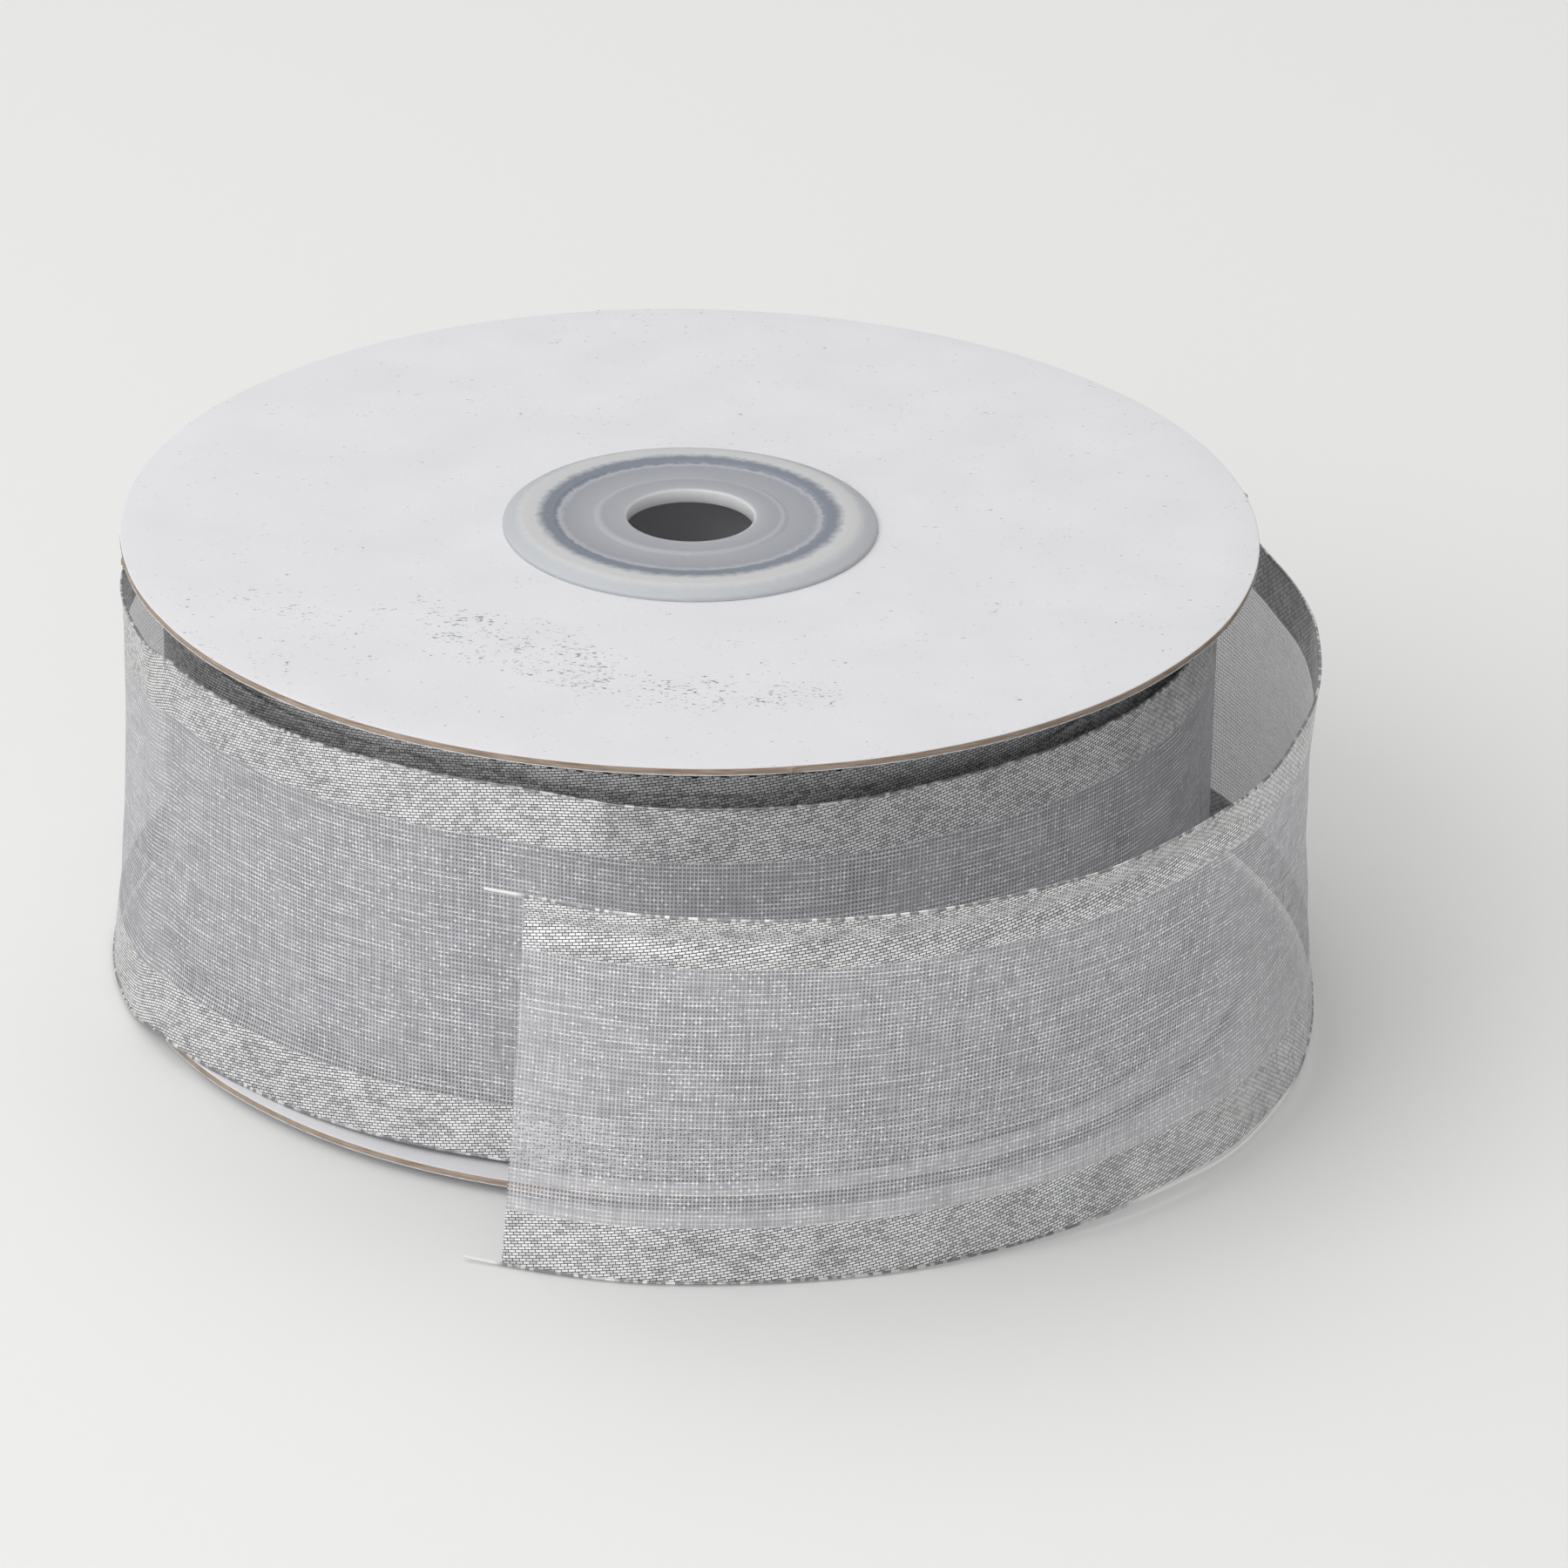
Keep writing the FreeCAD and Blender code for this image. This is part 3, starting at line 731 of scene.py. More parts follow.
@dataclass(frozen=True)
class NylonFilament:
    """Selvedge monofilament: bare nylon is clear and white, and woven in it is wrapped in silver."""

    name: str = "nylon_filament"
    bare: str = "dedfdc"
    wrapped_dark: str = "858587"
    wrapped_light: str = "d8d9d7"
    bead_mm: float = 0.42

    def build(self) -> bpy.types.Material:
        """Makes the material: the attribute "bare" fades the wrapping out."""
        material, tree, output = new_material(self.name)
        cloth = add_node(tree, "ShaderNodeAttribute", attribute_name="weave_mm").outputs["Vector"]
        bare = add_node(tree, "ShaderNodeAttribute", attribute_name="bare")
        cell = add_node(
            tree, "ShaderNodeVectorMath", {0: cloth, 1: (1 / self.bead_mm, 0.0, 0.0)},
            operation="MULTIPLY",
        )
        cell = add_node(tree, "ShaderNodeVectorMath", {0: cell}, operation="FLOOR")
        pick = add_node(tree, "ShaderNodeTexWhiteNoise", {"Vector": cell}, noise_dimensions="2D")
        cluster = add_node(
            tree, "ShaderNodeTexNoise", {"Vector": cloth, "Scale": 0.09, "Detail": 2.0},
            noise_dimensions="2D",
        )
        level = add_node(
            tree, "ShaderNodeMath", {0: cluster, 1: 1.6, 2: pick}, operation="MULTIPLY_ADD"
        )
        # Clusters of lit beads on the silver wrapping: the silver is real, the bright beads are painted
        # glints.
        lit = add_node(tree, "ShaderNodeMapRange", {0: level, 1: 1.25, 2: 1.75})
        wrapped = add_node(
            tree, "ShaderNodeMix",
            {0: lit, 6: linear(self.wrapped_dark), 7: linear(self.wrapped_light)}, data_type="RGBA",
        )
        colour = add_node(
            tree, "ShaderNodeMix",
            {0: bare.outputs["Fac"], 6: wrapped.outputs[2], 7: linear(self.bare)},
            data_type="RGBA",
        )
        metal = add_node(tree, "ShaderNodeMapRange", {0: bare.outputs["Fac"], 3: 0.7, 4: 0.0})
        shader = add_node(
            tree, "ShaderNodeBsdfPrincipled",
            {"Base Color": colour.outputs[2], "Metallic": metal, "Roughness": 0.3, "IOR": 1.53},
        )
        tree.links.new(shader.outputs[0], output.inputs[0])
        return material


def smooth_noise(
    where: np.ndarray, period: float, waves: int, rng: np.random.Generator
) -> np.ndarray:
    """Wandering value between about -1 and 1: a sum of sines with random phases and sizes.

    Args:
        where: Places along a line, in the same unit as the period.
        period: The longest wave.
        waves: How many waves to add, each shorter than the last.
        rng: Source of the phases.

    Returns:
        One value for each place.
    """
    total = np.zeros_like(where, dtype=float)
    for wave in range(1, waves + 1):
        share = rng.uniform(0.5, 1.0) / math.sqrt(waves)
        total += share * np.sin(2 * np.pi * where * wave / period + rng.uniform(0, 2 * np.pi))
    return total


def make_piece(
    name: str, points: np.ndarray, faces: np.ndarray, material: bpy.types.Material,
    sharp_deg: float = 40.0,
) -> bpy.types.Object:
    """Puts points and quads into a new mesh object at the origin.

    Args:
        name: The piece's name.
        points: Vertices, n by 3, in millimetres.
        faces: Vertex numbers of each face, m by 3 or 4.
        material: The finish.
        sharp_deg: Edges that bend by more than this stay sharp.

    Returns:
        The new object, linked to the scene.
    """
    mesh = bpy.data.meshes.new(name)
    mesh.from_pydata((points * MM).tolist(), [], faces.tolist())
    mesh.polygons.foreach_set("use_smooth", np.ones(len(faces), bool))
    mesh.set_sharp_from_angle(angle=math.radians(sharp_deg))
    mesh.materials.append(material)
    mesh.update()
    piece = bpy.data.objects.new(name, mesh)
    bpy.context.scene.collection.objects.link(piece)
    return piece


def grid_faces(rows: int, columns: int, close_rows: bool, close_columns: bool) -> np.ndarray:
    """Quads of a grid of points numbered row by row: each joins two rows and two columns.

    Args:
        rows: Rows of points.
        columns: Points in a row.
        close_rows: Whether the last row joins the first.
        close_columns: Whether the last column joins the first.

    Returns:
        Vertex numbers, n by 4.
    """
    row = np.arange(rows if close_rows else rows - 1)
    column = np.arange(columns if close_columns else columns - 1)
    row, column = (a.ravel() for a in np.meshgrid(row, column, indexing="ij"))
    next_row, next_column = (row + 1) % rows, (column + 1) % columns
    corners = [
        row * columns + column, row * columns + next_column,
        next_row * columns + next_column, next_row * columns + column,
    ]
    return np.stack(corners, 1)


def outward(points: np.ndarray, faces: np.ndarray) -> np.ndarray:
    """Turns the faces of a closed mesh outwards, by the sign of the volume that they enclose.

    Args:
        points: Vertices.
        faces: Quads.

    Returns:
        The faces, turned over if the volume was negative.
    """
    a, b, c, d = (points[faces[:, i]] for i in range(4))
    volume = (a * np.cross(b, c)).sum() + (a * np.cross(c, d)).sum()
    return faces if volume > 0 else faces[:, ::-1]


def carry(piece: bpy.types.Object, attribute: str, values: np.ndarray) -> None:
    """Stores a value or a vector at each vertex of a piece, for its material.

    Args:
        piece: The piece.
        attribute: The attribute's name.
        values: One number or one vector for each vertex.
    """
    vector = values.ndim == 2
    kind = "FLOAT_VECTOR" if vector else "FLOAT"
    layer = piece.data.attributes.new(attribute, kind, "POINT")
    layer.data.foreach_set("vector" if vector else "value", values.astype(np.float32).ravel())


def dress(piece: bpy.types.Object, slot: str, *nodes: str) -> bpy.types.Object:
    """Lets a piece ride on the spool and stand for its nodes.

    Args:
        piece: The finished piece.
        slot: The record's material slot; not used.
        *nodes: The CAD nodes that it stands for.

    Returns:
        The same piece.
    """
    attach(piece, "root")
    if nodes:
        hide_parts(*nodes)
    LOG.info("piece %s: %d vertices", piece.name, len(piece.data.vertices))
    return piece


@dataclass
class Lathe:
    """A closed profile turned about the spool's axis, with an edge that may wander."""

    segments: int = 360

    def build(
        self, name: str, profile: list[tuple[float, float]], material: bpy.types.Material,
        wander: np.ndarray | None = None, from_radius: float = 0.0,
    ) -> bpy.types.Object:
        """Turns a profile: each point goes round a circle at its radius and height.

        Args:
            name: The piece's name.
            profile: Radius and height of each point of the closed outline.
            material: The finish.
            wander: Added to the radius at each azimuth, for points past from_radius.
            from_radius: Where the wander starts.

        Returns:
            The new object.
        """
        turn = np.linspace(0, 2 * np.pi, self.segments, endpoint=False)
        outline = np.array(profile)
        radius = np.repeat(outline[:, 0][:, None], self.segments, 1)
        if wander is not None:
            radius = radius + np.where(radius > from_radius, wander[None, :], 0.0)
        height = np.repeat(outline[:, 1][:, None], self.segments, 1)
        points = np.stack([radius * np.cos(turn), radius * np.sin(turn), height], 2)
        faces = grid_faces(len(outline), self.segments, True, True)
        points = points.reshape(-1, 3)
        return make_piece(name, points, outward(points, faces), material)


@dataclass
class Flange:
    """Die-cut card disc: a chipboard with a white liner glued over each face."""

    side: Side
    edge_softness: float = 0.05
    cut_waver: float = 0.035
    loose_fibre: float = 0.035
    waver_from: float = 50.0
    nick_azimuths: tuple[float, ...] = (-80.0, 10.0, 100.0, 190.0)
    nick_reach: float = 0.30
    nick_width_deg: float = 0.55

    def build(
        self, board: bpy.types.Material, outer: bpy.types.Material, inner: bpy.types.Material
    ) -> None:
        """Builds the board and its two liners.

        Args:
            board: Finish of the chipboard.
            outer: Finish of the liner that faces away from the ribbon.
            inner: Finish of the liner that faces the ribbon.
        """
        up = self.side is Side.UPPER
        low = UPPER_SEAT if up else LOWER_FACE
        rng = np.random.default_rng(3 if up else 4)
        lathe = Lathe(segments=720)
        azimuth = np.linspace(0, 360, lathe.segments, endpoint=False)
        cut = self.cut_waver * smooth_noise(azimuth, 120.0, 9, rng)
        frayed = cut + self.loose_fibre * smooth_noise(azimuth, 20.0, 24, rng)
        for at in self.nick_azimuths:
            aside = (azimuth - at + 180) % 360 - 180
            frayed = frayed + self.nick_reach * np.exp(-((aside / self.nick_width_deg) ** 2))
        middle = low + LINER_THICKNESS
        top = middle + BOARD_THICKNESS
        papers = {"inner": inner, "outer": outer}
        below, above = ("inner", "outer") if up else ("outer", "inner")
        layers = (
            ("board", middle, top, board, frayed, 0),
            (f"{below}_liner", low, middle, papers[below], cut, -1),
            (f"{above}_liner", top, top + LINER_THICKNESS, papers[above], cut, 1),
        )
        for layer, floor, roof, material, wander, roll in layers:
            node = f"{self.side.value}_flange_{layer}"
            outline = self.outline(floor, roof, roll)
            piece = lathe.build(node + "_card", outline, material, wander, self.waver_from)
            dress(piece, "chipboard" if layer == "board" else "liner_paper", node)

    def outline(self, floor: float, roof: float, roll: int) -> list[tuple[float, float]]:
        """Outline of one layer, whose free corner is rolled over by the die.

        Args:
            floor: Lower face.
            roof: Upper face.
            roll: 1 where the upper corner is rolled, -1 where the lower one is, 0 for neither.

        Returns:
            Radius and height of each point.
        """
        soft = self.edge_softness
        rim = FLANGE_RADIUS
        lower = [(rim - 0.14, floor + 0.006), (rim - soft, floor + 0.02), (rim, floor + 0.06)]
        upper = [(rim, roof - 0.06), (rim - soft, roof - 0.02), (rim - 0.14, roof - 0.006)]
        foot = lower if roll < 0 else [(rim - 0.02, floor)]
        head = upper if roll > 0 else [(rim - 0.02, roof)]
        hole = FLANGE_HOLE_RADIUS
        inside = [(hole, roof), (hole, floor), (30.0, floor), (50.5, floor)]
        outside = [(50.5, roof), (30.0, roof)]
        return inside + foot + ([(rim, (floor + roof) / 2)] if roll == 0 else []) + head + outside


@dataclass
class HubPlug:
    """Moulded plug: collar over the flange, dished web with the bore, ribbed skirt."""

    side: Side
    bore_radius: float = 6.05
    collar_radius: float = 17.8
    collar_top_radius: float = 16.1
    skirt_radius: float = 14.05
    skirt_wall: float = 1.4
    skirt_depth: float = 9.0
    web: float = 1.35
    dish: tuple[float, float] = (9.1, 12.9)
    dish_depth: float = 0.16
    rib_count: int = 4
    rib_height: float = 0.13

    def profile(self) -> list[tuple[float, float]]:
        """Outline of the upper plug, heights from the flange's outer face, corners eased."""
        top, web = COLLAR_HEIGHT, COLLAR_HEIGHT - self.web
        near, far = self.dish
        deep = top - self.dish_depth
        inner = self.skirt_radius - self.skirt_wall
        tip = -self.skirt_depth
        bore = self.bore_radius
        return [
            (bore + 0.03, web), (bore, web + 0.05), (bore, top - 0.22), (bore + 0.05, top - 0.10),
            (bore + 0.20, top - 0.02), (bore + 0.45, top), (near - 0.25, top), (near - 0.06, top - 0.02),
            (near + 0.10, deep + 0.02), (near + 0.28, deep), (far - 0.22, deep),
            (far - 0.06, deep + 0.03), (far + 0.06, top - 0.03), (far + 0.22, top),
            (self.collar_top_radius - 0.30, top), (self.collar_top_radius - 0.06, top - 0.02),
            (self.collar_top_radius + 0.14, top - 0.08), (self.collar_radius - 0.16, 0.47),
            (self.collar_radius - 0.04, 0.38), (self.collar_radius, 0.28), (self.collar_radius, 0.04),
            (self.collar_radius - 0.04, 0.0), (self.skirt_radius, 0.0),
            (self.skirt_radius, -1.0), (self.skirt_radius, tip + 0.7),
            (self.skirt_radius - 0.35, tip), (inner, tip), (inner, web - 0.8),
            (inner - 0.23, web - 0.23), (inner - 0.8, web),
        ]

    def build(self, material: bpy.types.Material) -> None:
        """Turns the profile, raises the crush ribs and turns the lower plug over.

        Args:
            material: The plastic.
        """
        profile = [(r, UPPER_FACE + z) for r, z in self.profile()]
        name = f"{self.side.value}_hub_plug"
        piece = Lathe(segments=256).build(name + "_moulding", profile, material)
        flat = np.empty(len(piece.data.vertices) * 3)
        piece.data.vertices.foreach_get("co", flat)
        points = flat.reshape(-1, 3) / MM
        radius = np.hypot(points[:, 0], points[:, 1])
        turn = np.arctan2(points[:, 1], points[:, 0])
        spread = 2 * np.pi / self.rib_count
        aside = (turn + spread / 2) % spread - spread / 2
        on_skirt = (np.abs(radius - self.skirt_radius) < 0.01) & (points[:, 2] < UPPER_FACE - 0.9)
        raised = np.where(on_skirt & (np.abs(aside) < 0.5 / self.skirt_radius), self.rib_height, 0.0)
        points[:, :2] *= ((radius + raised) / radius)[:, None]
        if self.side is Side.LOWER:
            points[:, 2] = SPOOL_HEIGHT - points[:, 2]
            piece.data.flip_normals()
        piece.data.vertices.foreach_set("co", (points * MM).ravel())
        piece.data.update()
        dress(piece, "natural_plastic", name)


def level_cubic(where: np.ndarray, at: np.ndarray, values: np.ndarray) -> np.ndarray:
    """Smooth curve through stations that never swings past them.

    Between two stations it is a cubic whose end slopes are the harmonic means of the slopes
    either side, or zero at a peak, as designers fair a line through hand-set stations.

    Args:
        where: Places to read.
        at: Places of the stations, rising.
        values: The stations' values.

    Returns:
        One value for each place.
    """
    span = np.diff(at)
    rise = np.diff(values) / span
    before, after = rise[:-1], rise[1:]
    safe = np.where(before * after > 0, before + after, 1.0)
    inner = np.where(before * after > 0, 2 * before * after / safe, 0.0)
    slope = np.concatenate([[rise[0]], inner, [rise[-1]]])
    left = np.clip(np.searchsorted(at, where, side="right") - 1, 0, len(at) - 2)
    share = (where - at[left]) / span[left]
    cubic, square = share**3, share**2
    return (
        (2 * cubic - 3 * square + 1) * values[left]
        + (cubic - 2 * square + share) * span[left] * slope[left]
        + (3 * square - 2 * cubic) * values[left + 1]
        + (cubic - square) * span[left] * slope[left + 1]
    )


@dataclass
class LooseTurn:
    """The last turn of ribbon, from its cut end round the spool to where it lies on the pack."""

    table_foot: float = 0.45
    cut_slant: float = 2.3
    cut_blend: float = 24.0
    columns: int = 1100
    rows: int = 77
    free_end: float = 3.6
    stations: list[tuple[float, float, float, float, float]] = field(default_factory=list)

    def __post_init__(self) -> None:
        """Sets the stations: azimuth, foot height and radius, bow of the middle, lean of the top."""
        foot, seat, rim, pack = self.table_foot, LOWER_SEAT, FLANGE_RADIUS, PACK_RADIUS
        self.stations = [
            (-104, foot, rim + 12.8, -0.7, 1.4),
            (-92, foot, rim + 14.0, -0.8, 2.6),
            (-76, foot, rim + 14.0, -1.1, 3.6),
            (-60, seat - 0.8, rim + 13.8, -1.3, 3.8),
            (-45, seat + 0.2, rim + 13.4, -1.4, 2.4),
            (-30, seat + 0.2, rim + 11.1, -1.2, 0.3),
            (-10, seat - 0.1, rim + 7.2, -0.7, -1.2),
            (12, seat - 0.5, rim + 5.2, -0.2, -3.6),
            (50, foot + 0.3, rim + 2.8, -0.3, -2.0),
            (110, foot + 0.2, rim + 1.7, -0.4, -1.4),
            (180, foot + 0.2, rim + 1.2, -0.7, -1.2),
            (196, seat - 1.1, rim + 0.9, -0.8, -1.8),
            (206, seat + 0.3, rim + 0.5, -0.8, -1.7),
            (222, seat + 0.3, rim - 1.2, -0.9, -0.6),
            (240, seat + 0.7, pack + 2.5, -0.4, 0.0),
            (252, seat + 0.7, pack + 1.7, -0.3, 0.3),
            (268, seat + 0.3, pack + 1.8, -0.3, 1.2),
            (282, seat + 0.3, pack + 1.8, -0.3, 1.2),
            (300, seat + 0.5, pack + 1.4, -0.2, 0.6),
            (325, seat + 0.5, pack + 1.3, 0.0, 0.2),
            (345, seat + 0.5, pack + 0.835, 0.0, 0.0),
        ]

    def surface(self, azimuth: np.ndarray, share: np.ndarray) -> np.ndarray:
        """Points of the cloth at each azimuth and each share of its width.

        Across the width the radius is the foot's, plus the lean, plus a parabola for the bow,
        and each step climbs by what is left of the cloth's own width, so it never stretches.

        Args:
            azimuth: Degrees round the spool.
            share: Shares of the width, from 0 at the foot.

        Returns:
            Points in millimetres, azimuth by share by 3.
        """
        at, *columns = (np.array(c, float) for c in zip(*self.stations))
        held = np.maximum(azimuth, at[0])
        foot, radius, bow, lean = (level_cubic(held, at, c)[:, None] for c in columns)
        reach = radius + lean * share + 4 * bow * share * (1 - share)
        reach = reach + self.creases(held[:, None], share[None, :])
        climb = np.sqrt(
            np.maximum((RIBBON_WIDTH * np.diff(share)) ** 2 - np.diff(reach, axis=1) ** 2, 0)
        )
        height = foot + np.concatenate([np.zeros((len(azimuth), 1)), np.cumsum(climb, 1)], 1)
        near_cut = np.clip(1 - (azimuth[:, None] - at[0]) / self.cut_blend, 0, 1)
        along = self.cut_slant * near_cut * (height - self.table_foot) / RIBBON_WIDTH
        turn = np.radians(azimuth)[:, None]
        return np.stack(
            [
                reach * np.cos(turn) - along * np.sin(turn),
                reach * np.sin(turn) + along * np.cos(turn),
                height,
            ],
            2,
        )

    def creases(self, azimuth: np.ndarray, share: np.ndarray) -> np.ndarray:
        """Small folds: soft ripples along the cloth and a curl of the hanging end's top border.

        Args:
            azimuth: Degrees, as a column.
            share: Shares of the width, as a row.

        Returns:
            Millimetres to add to the radius.
        """
        rng = np.random.default_rng(CLOTH_SEED)
        slow = smooth_noise(azimuth + 55 * share, 60.0, 6, rng)
        edge = np.sin(np.pi * np.clip(share, 0, 1)) ** 0.5
        loose = np.clip((200 - azimuth) / 60, 0.25, 1)
        ripple = 0.10 * slow * (0.4 + 0.6 * edge) * loose
        hanging = np.clip((-30 - azimuth) / 25, 0, 1)
        curl = 0.55 * hanging * np.exp(-(((share - 0.93) / 0.03) ** 2)) * -1.0
        lower = np.clip(1 - np.abs(azimuth - 212) / 40, 0, 1)
        flare = -0.45 * lower * np.exp(-(((share - 0.19) / 0.05) ** 2))
        return ripple + curl + flare

    def build(self, cloth: bpy.types.Material, nylon: bpy.types.Material) -> None:
        """Builds the cloth and the filament in each of its selvedges.

        Args:
            cloth: Finish of the ribbon.
            nylon: Finish of the filaments.
        """
        first, last = self.stations[0][0], self.stations[-1][0]
        azimuth = np.linspace(first, last, self.columns)
        share = np.linspace(0, 1, self.rows)
        points = self.surface(azimuth, share)
        piece = ribbon_sheet("ribbon_loose_turn_cloth", points, cloth)
        dress(piece, "ribbon_cloth", "ribbon_loose_turn")
        for edge, rise, node in ((0, -1, "lower_edge_filament"), (1, 1, "upper_edge_filament")):
            self.filament(edge, rise, node, nylon)

    def filament(self, edge: int, rise: int, node: str, nylon: bpy.types.Material) -> None:
        """Builds the thin rod along one selvedge, which pokes out past the cut.

        Args:
            edge: 0 for the foot of the cloth, 1 for its top.
            rise: -1 where the rod hangs under the edge, 1 where it lies over it.
            node: The CAD node that it stands for.
            nylon: The finish.
        """
        first, last = self.stations[0][0], self.stations[-1][0]
        beyond = math.degrees(self.free_end / self.stations[0][2])
        azimuth = np.linspace(first - beyond, last, self.columns)
        share = np.linspace(0, 1, self.rows)
        line = self.surface(azimuth, share)[:, -1 if edge else 0]
        out = np.clip((first - azimuth) / beyond, 0, 1)
        popped = np.sin(np.pi * np.clip((azimuth + 58) / 36, 0, 1)) ** 2 * (edge == 0)
        line[:, 2] += rise * (FILAMENT_RADIUS + 0.55 * popped) + 0.25 * out
        thick = FILAMENT_RADIUS * (1 + 0.5 * popped)
        spin = np.linspace(0, 2 * np.pi, 8, endpoint=False)
        turn = np.radians(azimuth)[:, None]
        away = thick[:, None] * np.cos(spin)
        points = np.stack(
            [
                line[:, :1] + away * np.cos(turn),
                line[:, 1:2] + away * np.sin(turn),
                line[:, 2:] + thick[:, None] * np.sin(spin),
            ],
            2,
        )
        faces = grid_faces(len(azimuth), len(spin), False, True)
        flat = points.reshape(-1, 3)
        ends = np.array([[0, 1, 2, 3], [0, 3, 4, 7], [4, 5, 6, 7]])
        caps = np.concatenate([ends[:, ::-1], ends + len(flat) - len(spin)])
        piece = make_piece(node + "_thread", flat, outward(flat, np.concatenate([faces, caps])), nylon)
        along = np.repeat(along_line(line), len(spin))
        carry(piece, "weave_mm", np.stack([along, np.zeros_like(along), np.zeros_like(along)], 1))
        bare = np.maximum(np.clip(out * 8, 0, 1), np.clip(popped * 3, 0, 1))
        carry(piece, "bare", np.repeat(bare, len(spin)))
        dress(piece, "filament_nylon", node)


def along_line(line: np.ndarray) -> np.ndarray:
    """Distance along a line of points, from its first."""
    return np.concatenate([[0], np.cumsum(np.linalg.norm(np.diff(line, axis=0), axis=1))])


def ribbon_sheet(
    name: str, points: np.ndarray, cloth: bpy.types.Material, start: float = 0.0
) -> bpy.types.Object:
    """Makes a ribbon from a grid of points and gives it its woven coordinates.

    The distance along is measured on the middle line, the distance across is the width's share,
    and the warp direction is the difference between neighbouring columns.

    Args:
        name: The piece's name.
        points: Points in millimetres, along by across by 3.
        cloth: The finish.
        start: Distance along at the first column.

    Returns:
        The new object.
    """
    columns, rows = points.shape[:2]
    flat = points.reshape(-1, 3)
    faces = grid_faces(columns, rows, False, False)
    a, b, d = (flat[faces[:, i]] for i in (0, 1, 3))
    normal = np.cross(b - a, d - a)
    outwards = (normal[:, :2] * a[:, :2]).sum() > 0
    piece = make_piece(name, flat, faces if outwards else faces[:, ::-1], cloth, 180.0)
    along = start + along_line(points[:, rows // 2])
    across = np.linspace(0, RIBBON_WIDTH, rows)
    weave = np.stack(
        [np.repeat(along, rows), np.tile(across, columns), np.zeros(columns * rows)], 1
    )
    carry(piece, "weave_mm", weave)
    warp = np.gradient(points, axis=0)
    warp /= np.linalg.norm(warp, axis=2, keepdims=True)
    carry(piece, "warp_direction", warp.reshape(-1, 3))
    return piece


